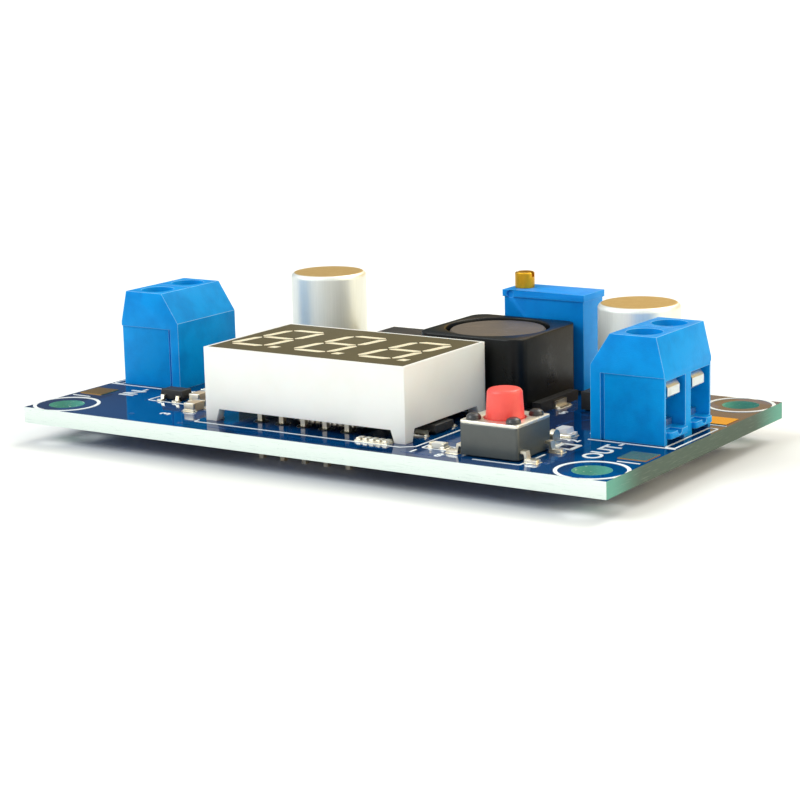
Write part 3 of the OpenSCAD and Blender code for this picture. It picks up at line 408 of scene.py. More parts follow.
@dataclass(frozen=True)
class Metal(Finish):
    """Plated or drawn metal: hair lines along one axis, tarnish in soft patches."""

    tarnish: Colour = (0.3, 0.28, 0.24)
    lines: tuple[float, float, float] = (1.0, 12.0, 12.0)
    patch: float = 1.6
    tarnish_share: float = 0.4
    depth: float = 0.004

    def paint(self, sheet: Sheet) -> dict[str, Value]:
        """Hair lines in the bump and the gloss, and patches of tarnish.

        Args:
            sheet: The material's tree.

        Returns:
            A value for each socket that varies.
        """
        spot = sheet.place()
        hair = sheet.noise(sheet.stretched(spot, self.lines), 0.5, 3.0)
        patches = sheet.noise(spot, self.patch, 4.0)
        return {
            "Base Color": sheet.mix(
                patches.soft(0.45, 0.8) * self.tarnish_share, self.colour, self.tarnish
            ),
            "Roughness": self.rough + (hair - 0.5) * 0.2 + (patches - 0.5) * 0.15,
            "Normal": sheet.bump(hair, self.depth),
        }


@dataclass(frozen=True)
class SolderMask(Finish):
    """Glossy mask over copper on the faces, bare glass laminate on the edges and in the holes,
    with painted shade on the board's end edges and towards the bottom of the edges.
    """

    copper_tone: Colour = (0.0, 0.05, 0.14)
    laminate: Colour = (0.82, 0.9, 0.85)
    laminate_dark: Colour = (0.3, 0.45, 0.38)
    # Painted shade on the board's end edges; the next colour is the hole walls' own, and it also
    # paints the end edges lighter towards the corners.
    painted_end_shade: Colour = (0.055, 0.09, 0.07)
    hole_wall_and_corner_light: Colour = (0.12, 0.42, 0.34)
    skin: float = 0.01
    # How far from the corners the end edges are painted lighter, in millimetres.
    corner_glow: float = 7.0

    def paint(self, sheet: Sheet) -> dict[str, Value]:
        """Mask where the face looks up or down, fibres and plies where it is cut, and painted
        shade on the end edges, lighter towards the corners, and towards the bottom.

        Args:
            sheet: The material's tree.

        Returns:
            A value for each socket that varies.
        """
        spot = sheet.place()
        out_x, out_y = abs(spot.part("X")), abs(spot.part("Y"))
        cut = 1 - abs(sheet.facing_up()).soft(0.4, 0.8)
        plies = sheet.noise(sheet.stretched(spot, (0.6, 0.6, 9.0)), 1.0, 3.0)
        flecks = sheet.noise(sheet.stretched(spot, (2.5, 2.5, 14.0)), 1.0, 2.0, 0.7)
        flecks = flecks.soft(0.62, 0.74)
        # Painted shade: the edges are painted darker towards the bottom, where the board nears the
        # floor.
        painted_bottom_shade = 1 - spot.part("Z").soft(2.0, 3.2)
        glass: Value = self.laminate
        for share in (plies.soft(0.55, 0.8) * 0.3, flecks * 0.6, painted_bottom_shade * 0.14):
            glass = sheet.mix(share, glass, self.laminate_dark)
        # The end edges are painted in shade, and painted lighter towards the corners.
        near_corner = out_y.soft(HALF_WIDTH - self.corner_glow, HALF_WIDTH)
        end = (out_x > HALF_LENGTH - self.skin) * (1 - plies.soft(0.5, 0.9) * 0.15)
        glass = sheet.mix(end, glass, sheet.mix(near_corner * 0.75, self.painted_end_shade, self.hole_wall_and_corner_light))
        inner = (out_x < HALF_LENGTH - self.skin) * (out_y < HALF_WIDTH - self.skin)
        glass = sheet.mix(inner, glass, sheet.mix(flecks, self.hole_wall_and_corner_light, self.laminate))
        peel = sheet.noise(spot, 1.4, 2.0)
        return {
            "Base Color": sheet.mix(cut, self.pours(sheet, spot), glass),
            "Roughness": self.rough + cut * 0.5 + (peel - 0.5) * 0.03,
            "Normal": sheet.bump(peel * 0.35 * (1 - cut) + plies * 2.0 * cut, 0.004),
        }

    def pours(self, sheet: Sheet, spot: Wire) -> Wire:
        """The mask's colour, darker or paler over the blocks of poured copper.

        Args:
            sheet: The material's tree.
            spot: The point's place, in millimetres.

        Returns:
            The colour.
        """
        block = sheet.node(
            "ShaderNodeTexVoronoi",
            {"feature": "F1", "distance": "CHEBYCHEV"},
            {"Vector": sheet.stretched(spot, (0.11, 0.13, 0.0)), "Scale": 1.0, "Randomness": 0.85},
            output="Color",
        ).part("X")
        return sheet.mix((block > 0.45) * 0.8, self.colour, self.copper_tone)


@dataclass(frozen=True)
class FaceFilm(Finish):
    """Dark tinted film with a fine matt print grain."""

    speck: Colour = (0.3, 0.29, 0.2)

    def paint(self, sheet: Sheet) -> dict[str, Value]:
        """Fine paler specks and soft broad clouds.

        Args:
            sheet: The material's tree.

        Returns:
            A value for each socket that varies.
        """
        spot = sheet.place()
        fine = sheet.noise(spot, 0.12, 2.0, 0.7)
        cloud = sheet.noise(spot, 5.0, 2.0)
        share = fine.soft(0.45, 0.7) * 0.35 + (cloud - 0.4) * 0.4
        return {
            "Base Color": sheet.mix(share, self.colour, self.speck),
            "Roughness": self.rough + (fine - 0.5) * 0.25,
            "Normal": sheet.bump(fine, 0.008),
        }


@dataclass(frozen=True)
class CanMetal(Finish):
    """Drawn can: satin wall with upright draw marks, warmer and smoother top."""

    top: Colour = (0.5, 0.3, 0.16)
    drawn: Colour = linear(196, 200, 192)
    scuffed: Colour = linear(214, 190, 136)

    def paint(self, sheet: Sheet) -> dict[str, Value]:
        """Upright marks on the wall, and scuffs on the warm top.

        Args:
            sheet: The material's tree.

        Returns:
            A value for each socket that varies.
        """
        spot = sheet.place()
        lid = sheet.facing_up().soft(0.85, 0.98)
        draws = sheet.noise(sheet.stretched(spot, (7.0, 7.0, 0.25)), 1.0, 3.0)
        scuffs = sheet.noise(spot, 0.9, 4.0, 0.65)
        wall = sheet.mix((draws - 0.35) * 0.4, self.colour, self.drawn)
        cap = sheet.mix(scuffs.soft(0.4, 0.75) * 0.25, self.top, self.scuffed)
        return {
            "Base Color": sheet.mix(lid, wall, cap),
            "Roughness": self.rough + (draws - 0.5) * 0.2 + lid * 0.08,
            "Normal": sheet.bump(draws * (1 - lid) + scuffs * 0.5, 0.006),
        }


@dataclass(frozen=True)
class SinteredCore(Finish):
    """Pressed ferrite: dark and pitted, with a resin sheen and paler places of wear."""

    paler_tone: Colour = (0.09, 0.075, 0.06)

    def paint(self, sheet: Sheet) -> dict[str, Value]:
        """Pits, and broad patches of resin.

        Args:
            sheet: The material's tree.

        Returns:
            A value for each socket that varies.
        """
        spot = sheet.place()
        pits = sheet.noise(spot, 0.16, 3.0, 0.7)
        resin = sheet.noise(spot, 2.6, 3.0)
        share = resin.soft(0.4, 0.8) * 0.3 + pits.soft(0.55, 0.75) * 0.3
        return {
            "Base Color": sheet.mix(share, self.colour, self.paler_tone),
            "Roughness": self.rough - resin.soft(0.5, 0.8) * 0.18 + (pits - 0.5) * 0.2,
            "Normal": sheet.bump(pits + resin * 0.8, 0.014),
        }


@dataclass(frozen=True)
class Paint(Finish):
    """Screen-printed ink with a slightly ragged thickness."""

    beneath: Colour = linear(120, 160, 190)

    def paint(self, sheet: Sheet) -> dict[str, Value]:
        """Thin places let a little of the mask through.

        Args:
            sheet: The material's tree.

        Returns:
            A value for each socket that varies.
        """
        fine = sheet.noise(sheet.place(), 0.11, 3.0, 0.7)
        return {
            "Base Color": sheet.mix(fine.soft(0.6, 0.8) * 0.3, self.colour, self.beneath),
            "Roughness": self.rough + (fine - 0.5) * 0.3,
            "Normal": sheet.bump(fine, 0.006),
        }


# The azure mouldings paint a highlight on their convex edges in their rim colour.
AZURE = Moulding(
    "azure_terminal_moulding", linear(0, 152, 232), 0.42, inner_glow=0.2, ior=1.2,
    shade=linear(0, 108, 190), flow=3.0, grain=0.14, depth=0.02, shade_share=0.5,
    rim=linear(190, 232, 255), rim_highlight_share=0.45,
)
TRIMMER_AZURE = Moulding(
    "azure_trimmer_moulding", linear(6, 148, 238), 0.42, inner_glow=0.2, ior=1.25,
    shade=linear(0, 120, 214), flow=2.0, depth=0.008, shade_share=0.4,
    rim=linear(150, 214, 250), rim_highlight_share=0.3,
)
WHITE_SHELL = Moulding(
    "white_display_moulding", linear(246, 246, 242), 0.4, inner_glow=0.3,
    shade=linear(240, 238, 230), flow=5.0, depth=0.003, shade_share=0.5,
)
CREAM_BAR = Moulding(
    "cream_light_bar", linear(250, 240, 208), 0.35, inner_glow=0.3,
    shade=linear(228, 212, 170), flow=0.8, depth=0.004,
)
CHARCOAL = Moulding(
    "charcoal_button_moulding", linear(48, 55, 52), 0.4, ior=1.8,
    shade=linear(34, 40, 38), flow=1.2, grain=0.06, depth=0.006,
)
RIVET_BLACK = Moulding(
    "dark_rivet_moulding", linear(48, 50, 54), 0.32, shade=linear(30, 30, 34), flow=0.7,
)
CORAL = Moulding(
    "coral_plunger_moulding", linear(250, 92, 82), 0.38, inner_glow=0.3,
    shade=linear(236, 70, 66), flow=1.6, depth=0.004, shade_share=0.5,
)
IVORY = Moulding("ivory_wheel_moulding", linear(232, 224, 200), 0.45, shade=linear(214, 200, 170))
EPOXY = Moulding(
    "black_epoxy_moulding", linear(20, 20, 21), 0.5, shade=linear(34, 33, 32),
    flow=1.4, grain=0.05, depth=0.01, shade_share=0.5,
)
CARRIER = Moulding(
    "grey_carrier_resin", linear(58, 58, 54), 0.3, shade=linear(36, 36, 34), flow=1.0,
)
STEEL = Metal(
    "nickel_plated_steel", linear(212, 220, 222), 0.3, 1.0, tarnish=linear(150, 150, 142),
)
COVER_STEEL = Metal(
    "brushed_button_cover", linear(230, 228, 218), 0.4, 1.0, tarnish=linear(190, 170, 120),
    lines=(12.0, 1.0, 12.0),
)
TIN = Metal(
    "tinned_lead", linear(228, 222, 204), 0.34, 1.0, tarnish=linear(196, 156, 78),
    patch=0.9, tarnish_share=0.6,
)
SOLDER = Metal(
    "bright_solder", linear(232, 228, 216), 0.3, 1.0, tarnish=linear(196, 172, 120),
    lines=(3.0, 3.0, 3.0), patch=0.7, tarnish_share=0.7, depth=0.02,
)
GILT = Metal(
    "bare_gilt_copper", linear(255, 200, 104), 0.12, 0.92, tarnish=linear(244, 176, 84),
    patch=1.2, lines=(4.0, 4.0, 4.0),
)
BRASS = Metal(
    "turned_brass", linear(206, 158, 44), 0.34, 1.0, tarnish=linear(150, 104, 24),
    lines=(9.0, 9.0, 0.8), patch=1.5, tarnish_share=0.4, depth=0.03,
)
SPRING = Metal("spring_dome_brass", linear(210, 176, 96), 0.25, 1.0, tarnish=linear(150, 116, 50))
COPPER_WIRE = Metal(
    "enamelled_copper_wire", linear(190, 100, 48), 0.3, 0.8, 0.6, tarnish=linear(120, 54, 24),
)
MASK = SolderMask(
    "blue_solder_mask", linear(0, 46, 92), 0.07, ior=1.42, copper_tone=linear(0, 66, 122),
)
TRACE = Moulding(
    "masked_copper_trace", linear(0, 70, 130), 0.08, ior=1.42, shade=linear(0, 56, 108),
    depth=0.001,
)
INK = Paint("white_printed_ink", linear(240, 244, 244), 0.5)
FILM = FaceFilm("dark_face_film", linear(76, 68, 40), 0.5, ior=1.36, speck=linear(108, 98, 64))
CAN = CanMetal("satin_can_metal", linear(238, 241, 236), 0.42, 0.6, top=linear(188, 156, 96))
FERRITE = SinteredCore(
    "pressed_ferrite", linear(8, 11, 12), 0.36, ior=1.3, paler_tone=linear(26, 28, 27),
)
DRUM_FERRITE = SinteredCore("drum_ferrite", linear(84, 74, 64), 0.55, paler_tone=linear(118, 104, 88))
GLASS = Moulding(
    "blue_diode_glass", linear(14, 22, 40), 0.12, coat=0.3, shade=linear(110, 60, 40), flow=0.6,
)
LENS = Moulding(
    "milky_lamp_lens", linear(244, 244, 248), 0.15, coat=0.4, inner_glow=0.3,
    shade=linear(226, 228, 236), flow=0.5,
)
CERAMIC = Moulding(
    "white_ceramic", linear(226, 224, 216), 0.5, shade=linear(206, 200, 188),
    grain=0.05, depth=0.01,
)
TAN_CERAMIC = Moulding(
    "tan_ceramic", linear(196, 172, 136), 0.42, shade=linear(160, 130, 92),
    grain=0.05, depth=0.008,
)
FLOOR = Moulding(
    "pale_studio_floor", (0.93, 0.93, 0.93), 0.6, shade=(0.92, 0.92, 0.92),
    flow=60.0, grain=2.0, depth=0.002,
)


class Body(Enum):
    """The bodies that dressed pieces ride on."""

    BOARD = "board"
    TRIMMER_SCREW = "trimmer_screw"
    IN_FRONT_SCREW = "in_front_screw"
    IN_REAR_SCREW = "in_rear_screw"
    OUT_FRONT_SCREW = "out_front_screw"
    OUT_REAR_SCREW = "out_rear_screw"


class Workshop:
    """Makes meshes and shows them in the scene on their bodies; reaches are millimetres, angles
    degrees.
    """

    flat_angle = 1.0
    merge_reach = 0.002
    bevel_merge_reach = 0.0005
    bevel_profile = 0.6
    sharpest_kept = 24.0
    smooth_angle = 40.0

    def add(self, name: str, mesh: bpy.types.Mesh, finish: Finish, body: Body, slot: str) -> Any:
        """Shows a mesh as a piece of the module.

        Args:
            name: The piece's name.
            mesh: Its mesh, in the shared frame.
            finish: What it is finished in.
            body: The body that it rides on.
            slot: Not used.

        Returns:
            The new object.
        """
        made = shown(name, mesh)
        mesh.materials.clear()
        mesh.materials.append(finish.material())
        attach(made, body.value)
        log.info("%s: %d faces", name, len(mesh.polygons))
        return made

    def dress(self, finish: Finish, *nodes: str) -> None:
        """Gives CAD nodes a finish.

        Args:
            finish: The finish.
            nodes: The nodes' names.
        """
        for node in nodes:
            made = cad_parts[node]
            made.data.materials.clear()
            made.data.materials.append(finish.material())
            log.info("%s wears %s", node, finish.name)

    def soften(self, node: str, finish: Finish, radius: float, slot: str) -> Any:
        """Replaces a CAD node on the board by a copy with rounded edges, whose convex edge faces
        are flagged for a painted highlight.

        Args:
            node: The node to copy.
            finish: What the copy is finished in.
            radius: How far in the edges are rounded, in millimetres.
            slot: A material slot name, handed on to add.

        Returns:
            The new object.
        """
        work = self.merged(node)
        bmesh.ops.dissolve_limit(
            work, angle_limit=math.radians(self.flat_angle), verts=work.verts, edges=work.edges
        )
        # Bevel faces of convex edges are flagged in the rim layer, for a painted highlight on the
        # edges.
        rim = work.faces.layers.float.new("rim")
        edges = [
            edge
            for edge in work.edges
            if len(edge.link_faces) == 2
            and edge.calc_face_angle(0.0) > math.radians(self.sharpest_kept)
        ]
        rounded = bmesh.ops.bevel(
            work, geom=edges, offset=radius * MM, offset_type="OFFSET", segments=2,
            profile=self.bevel_profile, affect="EDGES", clamp_overlap=True,
        )
        for face in rounded["faces"]:
            bend = sum(edge.calc_face_angle_signed(0.0) for edge in face.edges)
            face[rim] = 1.0 if bend > 0.0 else 0.0
        bmesh.ops.remove_doubles(work, verts=work.verts, dist=self.bevel_merge_reach * MM)
        name = node + "_softened"
        mesh = bpy.data.meshes.new(name)
        work.to_mesh(mesh)
        work.free()
        self.shade(mesh, self.smooth_angle)
        made = self.add(name, mesh, finish, Body.BOARD, slot)
        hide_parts(node)
        return made

    def merged(self, node: str) -> bmesh.types.BMesh:
        """Copies a CAD node's mesh to work on.

        Args:
            node: The node's name.

        Returns:
            The copy, with its doubles merged.
        """
        work = bmesh.new()
        work.from_mesh(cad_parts[node].data)
        bmesh.ops.remove_doubles(work, verts=work.verts, dist=self.merge_reach * MM)
        return work

    def shade(self, mesh: bpy.types.Mesh, smooth: float) -> None:
        """Shades smooth where faces meet at less than an angle in degrees."""
        mesh.polygons.foreach_set("use_smooth", [True] * len(mesh.polygons))
        mesh.set_sharp_from_angle(angle=math.radians(smooth))

    def points(self, name: str, spots: Iterable[Sequence[float]]) -> bpy.types.Mesh:
        """Makes a mesh of bare points.

        Args:
            name: Its name.
            spots: The points, in millimetres.

        Returns:
            The mesh.
        """
        mesh = bpy.data.meshes.new(name)
        mesh.from_pydata([tuple(v * MM for v in spot) for spot in spots], [], [])
        return mesh

    def lines(self, name: str, paths: Iterable["Path"]) -> bpy.types.Mesh:
        """Makes a mesh of open or closed lines.

        Args:
            name: Its name.
            paths: The lines.

        Returns:
            The mesh.
        """
        spots: list[Sequence[float]] = []
        edges: list[tuple[int, int]] = []
        for path in paths:
            first = len(spots)
            spots += [(x * MM, y * MM, path.z * MM) for x, y in path.points]
            last = len(spots) - 1
            edges += [(i, i + 1) for i in range(first, last)]
            if path.closed:
                edges.append((last, first))
        mesh = bpy.data.meshes.new(name)
        mesh.from_pydata(spots, edges, [])
        return mesh

    def grow(
        self,
        name: str,
        seed: bpy.types.Mesh,
        tree: "GrowthTree",
        values: dict[str, Value],
        finish: Finish,
        body: Body,
        slot: str,
        smooth: float = smooth_angle,
    ) -> Any:
        """Runs a geometry tree on a seed mesh and keeps the result as a plain mesh.

        Args:
            name: The piece's name.
            seed: The mesh that the tree grows on.
            tree: The tree.
            values: The tree's named sizes.
            finish: What the piece is finished in.
            body: The body that it rides on.
            slot: A material slot name, handed on to add.
            smooth: Faces that meet at less than this, in degrees, shade smooth.

        Returns:
            The new object.
        """
        stand = shown(name + "_seed", seed)
        modifier = stand.modifiers.new("grow", "NODES")
        modifier.node_group = tree.build(finish.material())
        for item in modifier.node_group.interface.items_tree:
            if item.item_type == "SOCKET" and item.in_out == "INPUT" and item.name in values:
                modifier[item.identifier] = values[item.name]
        stand.update_tag()
        mesh = settled(stand)
        mesh.name = name
        self.shade(mesh, smooth)
        return self.add(name, mesh, finish, body, slot)


@dataclass(frozen=True)
class Path:
    """A line on the board, with its points in millimetres."""

    points: tuple[Point, ...]
    closed: bool = False
    z: float = BOARD_TOP

    @staticmethod
    def box(left: float, front: float, right: float, rear: float) -> "Path":
        """A closed rectangle between two opposite corners."""
        (left, right), (front, rear) = sorted((left, right)), sorted((front, rear))
        return Path(((left, front), (right, front), (right, rear), (left, rear)), True)

    @staticmethod
    def round_node(node: str, margin: float) -> "Path":
        """A closed rectangle round a CAD node."""
        low, high = corners(node)
        return Path.box(low.x - margin, low.y - margin, high.x + margin, high.y + margin)

    @staticmethod
    def ring(x: float, y: float, radius: float, steps: int = 56) -> "Path":
        """A closed circle of straight steps.

        Args:
            x: Its middle along the board.
            y: Its middle across the board.
            radius: Its radius.
            steps: Its number of steps.

        Returns:
            The line.
        """
        turns = [2 * math.pi * step / steps for step in range(steps)]
        return Path(
            tuple((x + radius * math.cos(turn), y + radius * math.sin(turn)) for turn in turns),
            True,
        )


class GrowthTree:
    """A geometry tree with named sizes, which ends in real, dressed geometry."""

    title = "growth"
    sizes: dict[str, float] = {}

    def build(self, material: bpy.types.Material) -> bpy.types.NodeTree:
        """Draws up the tree.

        Args:
            material: The material that the geometry gets.

        Returns:
            The node group.
        """
        group = bpy.data.node_groups.new(self.title, "GeometryNodeTree")
        group.interface.new_socket("Geometry", in_out="INPUT", socket_type="NodeSocketGeometry")
        for name, size in self.sizes.items():
            made = group.interface.new_socket(name, in_out="INPUT", socket_type="NodeSocketFloat")
            made.default_value = size
        group.interface.new_socket("Geometry", in_out="OUTPUT", socket_type="NodeSocketGeometry")
        sheet = Sheet(group)
        entry = group.nodes.new("NodeGroupInput")
        wires = {name: Wire(sheet, entry.outputs[name]) for name in ["Geometry", *self.sizes]}
        grown = self.grow(sheet, wires)
        real = sheet.node("GeometryNodeRealizeInstances", {}, {"Geometry": grown})
        dressed = sheet.node(
            "GeometryNodeSetMaterial", {}, {"Geometry": real, "Material": material}
        )
        leave = group.nodes.new("NodeGroupOutput")
        group.links.new(dressed.socket, leave.inputs[0])
        return group

    def grow(self, sheet: Sheet, wires: dict[str, Wire]) -> Wire:
        """Builds the geometry, in each kind of tree.

        Args:
            sheet: The tree.
            wires: Its inputs, by name.

        Returns:
            The geometry.
        """
        raise NotImplementedError


    def circle(self, sheet: Sheet, radius: Value, corners: int) -> Wire:
        """A round curve."""
        return sheet.node(
            "GeometryNodeCurvePrimitiveCircle", {"mode": "RADIUS"},
            {"Resolution": corners, "Radius": radius},
        )

    def swept(self, sheet: Sheet, curve: Wire, profile: Wire) -> Wire:
        """A profile run along a curve, with closed ends."""
        return sheet.node(
            "GeometryNodeCurveToMesh", {},
            {"Curve": curve, "Profile Curve": profile, "Fill Caps": True},
        )

    def on_points(self, sheet: Sheet, points: Wire, shape: Wire, scale: Value = (1, 1, 1)) -> Wire:
        """A copy of a shape on every point."""
        return sheet.node(
            "GeometryNodeInstanceOnPoints", {},
            {"Points": points, "Instance": shape, "Scale": scale},
        )


class RibbonTree(GrowthTree):
    """Flat ribbons along lines, with rounded corners."""

    title = "ribbon_on_board"
    sizes = {"Width": 0.2 * MM, "Height": 0.02 * MM, "Corner": 0.15 * MM}

    def grow(self, sheet: Sheet, wires: dict[str, Wire]) -> Wire:
        """Lines to curves, corners rounded, a flat profile swept along them.

        Args:
            sheet: The tree.
            wires: Its inputs, by name.

        Returns:
            The geometry.
        """
        curve = sheet.node("GeometryNodeMeshToCurve", {}, {"Mesh": wires["Geometry"]})
        rounded = sheet.node(
            "GeometryNodeFilletCurve", {},
            {"Curve": curve, "Radius": wires["Corner"], "Limit Radius": True},
        )
        level = sheet.node("GeometryNodeSetCurveNormal", {"mode": "Z_UP"}, {"Curve": rounded})
        profile = sheet.node(
            "GeometryNodeCurvePrimitiveQuadrilateral", {"mode": "RECTANGLE"},
            {"Width": wires["Width"], "Height": wires["Height"]},
        )
        return self.swept(sheet, level, profile)


class StudTree(GrowthTree):
    """Low rings on points: plated vias, and solder drawn up round pins."""

    title = "round_studs"
    sizes = {"Radius": 0.3 * MM, "Height": 0.1 * MM, "Bore": 0.1 * MM}

    def grow(self, sheet: Sheet, wires: dict[str, Wire]) -> Wire:
        """A squashed ring on every point.

        Args:
            sheet: The tree.
            wires: Its inputs, by name.

        Returns:
            The geometry.
        """
        tube = (wires["Radius"] - wires["Bore"]) * 0.5
        loop = self.circle(sheet, wires["Bore"] + tube, 16)
        ring = self.swept(sheet, loop, self.circle(sheet, tube, 8))
        squash = sheet.node(
            "ShaderNodeCombineXYZ", {}, {"X": 1.0, "Y": 1.0, "Z": wires["Height"] / tube}
        )
        return self.on_points(sheet, wires["Geometry"], ring, squash)


class PillowTree(GrowthTree):
    """Wetted solder: a domed pillow on every point, sized by its own attribute."""

    title = "solder_pillows"
    sizes = {"Sharpness": 0.5}

    def grow(self, sheet: Sheet, wires: dict[str, Wire]) -> Wire:
        """A rounded block on every point, scaled by the point's span.

        Args:
            sheet: The tree.
            wires: Its inputs, by name.

        Returns:
            The geometry.
        """
        block = sheet.node(
            "GeometryNodeMeshCube", {},
            {"Size": (1.0, 1.0, 1.0), "Vertices X": 3, "Vertices Y": 3, "Vertices Z": 3},
        )
        smooth = sheet.node(
            "GeometryNodeSubdivisionSurface", {},
            {"Mesh": block, "Level": 1, "Edge Crease": wires["Sharpness"]},
        )
        span = sheet.node(
            "GeometryNodeInputNamedAttribute", {"data_type": "FLOAT_VECTOR"}, {"Name": "span"}
        )
        return self.on_points(sheet, wires["Geometry"], smooth, span)


class ThreadTree(GrowthTree):
    """A wire wound up a helix on every point, for screw threads."""

    title = "wound_thread"
    sizes = {"Radius": 1.0 * MM, "Rise": 3.0 * MM, "Turns": 6.0, "Wire": 0.1 * MM}

    def grow(self, sheet: Sheet, wires: dict[str, Wire]) -> Wire:
        """A helix with a small round profile.

        Args:
            sheet: The tree.
            wires: Its inputs, by name.

        Returns:
            The geometry.
        """
        helix = sheet.node(
            "GeometryNodeCurveSpiral", {},
            {
                "Resolution": 24, "Rotations": wires["Turns"], "Start Radius": wires["Radius"],
                "End Radius": wires["Radius"], "Height": wires["Rise"],
            },
        )
        thread = self.swept(sheet, helix, self.circle(sheet, wires["Wire"], 6))
        return self.on_points(sheet, wires["Geometry"], thread)


@dataclass(frozen=True)
class Ring:
    """A low ring's sizes, in millimetres."""

    radius: float
    height: float
    bore: float

    def values(self) -> dict[str, Value]:
        """The stud tree's named sizes."""
        return {"Radius": self.radius * MM, "Height": self.height * MM, "Bore": self.bore * MM}


@dataclass
class Board(Workshop):
    """The circuit board with its printed lines, traces, vias and bare pads, in millimetres."""

    hole_inset: float = 3.0
    ring_radius: float = 3.2
    ring_line: float = 0.36
    fine_line: float = 0.19
    bold_line: float = 0.44
    ink_height: float = 0.03
    end_line_margin: float = 0.15
    block_start: float = 24.0
    block_margin: float = 0.45
    wire_box: Point = (31.7, 32.65)
    chip_outline: Point = (1.35, 0.72)
    trace_width: float = 0.34
    trace_height: float = 0.012
    power_run_width: float = 1.5
    power_run_height: float = 0.016
    ribbon_smooth_angle: float = 30.0
    via: Ring = Ring(radius=0.34, height=0.025, bore=0.14)
    word_size: float = 1.8
    digit_size: float = 1.0
    tall_digit_size: float = 1.1
    chip_spots: list[tuple[float, float, bool]] = field(default_factory=list)

    def build(self) -> None:
        """Dresses the board and prints on it."""
        self.dress(MASK, "circuit_board")
        self.dress(GILT, "wire_pads")
        self.print_rings()
        self.print_outlines()
        self.print_words()
        self.lay_traces()
        self.stud_vias()

    def ribbon(
        self, name: str, paths: list[Path], width: float, height: float, finish: Finish = INK,
        corner: float = 0.12,
    ) -> Any:
        """Sweeps a flat ribbon along lines.

        Args:
            name: The piece's name.
            paths: The lines.
            width: The ribbon's width.
            height: How far it stands above the board, and as far into it.
            finish: Its finish.
            corner: The radius of its corners.

        Returns:
            The new object.
        """
        return self.grow(
            name, self.lines(name, paths), RibbonTree(),
            {"Width": width * MM, "Height": 2 * height * MM, "Corner": corner * MM},
            finish, Body.BOARD, "solder_mask", self.ribbon_smooth_angle,
        )

    def print_rings(self) -> None:
        """Rings round the four mounting holes."""
        x, y = HALF_LENGTH - self.hole_inset, HALF_WIDTH - self.hole_inset
        rings = [Path.ring(a * x, b * y, self.ring_radius) for a in (-1, 1) for b in (-1, 1)]
        self.trim(
            self.ribbon("printed_hole_rings", rings, self.ring_line, self.ink_height, corner=0)
        )

    def trim(self, piece: Any) -> None:
        """Cuts a printed piece off flush with the board's edges.

        Args:
            piece: The object to cut.
        """
        work = bmesh.new()
        work.from_mesh(piece.data)
        for way, reach in (
            ((1, 0, 0), HALF_LENGTH), ((-1, 0, 0), HALF_LENGTH),
            ((0, 1, 0), HALF_WIDTH), ((0, -1, 0), HALF_WIDTH),
        ):
            cut = bmesh.ops.bisect_plane(
                work, geom=work.verts[:] + work.edges[:] + work.faces[:],
                plane_co=Vector(way) * reach * MM, plane_no=way, clear_outer=True,
            )["geom_cut"]
            bmesh.ops.edgenet_fill(
                work, edges=[part for part in cut if isinstance(part, bmesh.types.BMEdge)]
            )
        bmesh.ops.recalc_face_normals(work, faces=work.faces)
        work.to_mesh(piece.data)
        work.free()

    def print_outlines(self) -> None:
        """Fine outlines round the parts, and bold polarity marks."""
        lines = self.display_lines() + self.terminal_lines(-1) + self.terminal_lines(1)
        lines += self.button_lines() + [
            Path.round_node("logic_supply_body", 0.9),
            Path.round_node("controller_body", 0.8),
            Path.round_node("flywheel_diode_body", 0.35),
        ]
        for x, y, turned in self.chip_spots:
            along, across = reversed(self.chip_outline) if turned else self.chip_outline
            lines.append(Path.box(x - along, y - across, x + along, y + across))
        self.ribbon("printed_fine_lines", lines, self.fine_line, self.ink_height)
        low, high = corners("glass_diode_caps")
        # A box and a bar at the glass diode's ends, and a bar by the input capacitor.
        bars = [
            Path.box(high.x + 0.42, low.y - 0.5, high.x + 2.1, high.y - 0.1),
            Path(((-14.2, 9.7), (-14.2, 17.3))),
            Path(((low.x - 0.5, low.y), (low.x - 0.5, high.y))),
        ]
        self.ribbon("printed_bold_marks", bars, self.bold_line, self.ink_height, corner=0.05)

    def display_lines(self) -> list[Path]:
        """Draws two open outlines round the display, with a cut front right corner.

        Returns:
            The lines.
        """
        low, high = corners("display_shell")
        left, right, front = low.x - 0.6, high.x + 1.3, low.y - 1.15
        return [
            Path(((left, low.y - 0.4), (left, front), (right - 1.2, front),
                  (right, front + 0.9), (right, high.y + 0.4))),
            Path(((left, high.y - 5), (left, high.y + 0.5), (right, high.y + 0.5))),
        ]

    def terminal_lines(self, end: int) -> list[Path]:
        """Draws lines round a terminal block and beside its wiring pads.

        Args:
            end: -1 at the input end of the board, 1 at the output end.

        Returns:
            The lines.
        """
        low, high = corners("out_terminal_housing" if end > 0 else "in_terminal_housing")
        inner, outer = end * self.block_start, end * (HALF_LENGTH - self.end_line_margin)
        front, rear = low.y - self.block_margin, high.y + self.block_margin
        box_start, box_end = (end * x for x in self.wire_box)
        return [
            Path(((inner, front), (outer, front))),
            Path(((inner, rear), (outer, rear))),
            Path.box(box_start, low.y - 0.2, box_end, high.y - 0.9),
            Path(((end * 30.35, -11.1), (end * 32.6, -11.1))),
        ]

    def button_lines(self) -> list[Path]:
        """Draws broken lines on three sides of the push button.

        Returns:
            The lines.
        """
        low, high = corners("button_base")
        right, front, rear = high.x + 0.5, low.y - 0.6, high.y + 0.6
        return [
            Path(((low.x + 1.7, front), (right, front), (right, low.y + 0.6))),
            Path(((right, low.y + 2.2), (right, high.y - 2.0))),
            Path(((low.x + 0.4, rear), (high.x - 0.4, rear))),
        ]

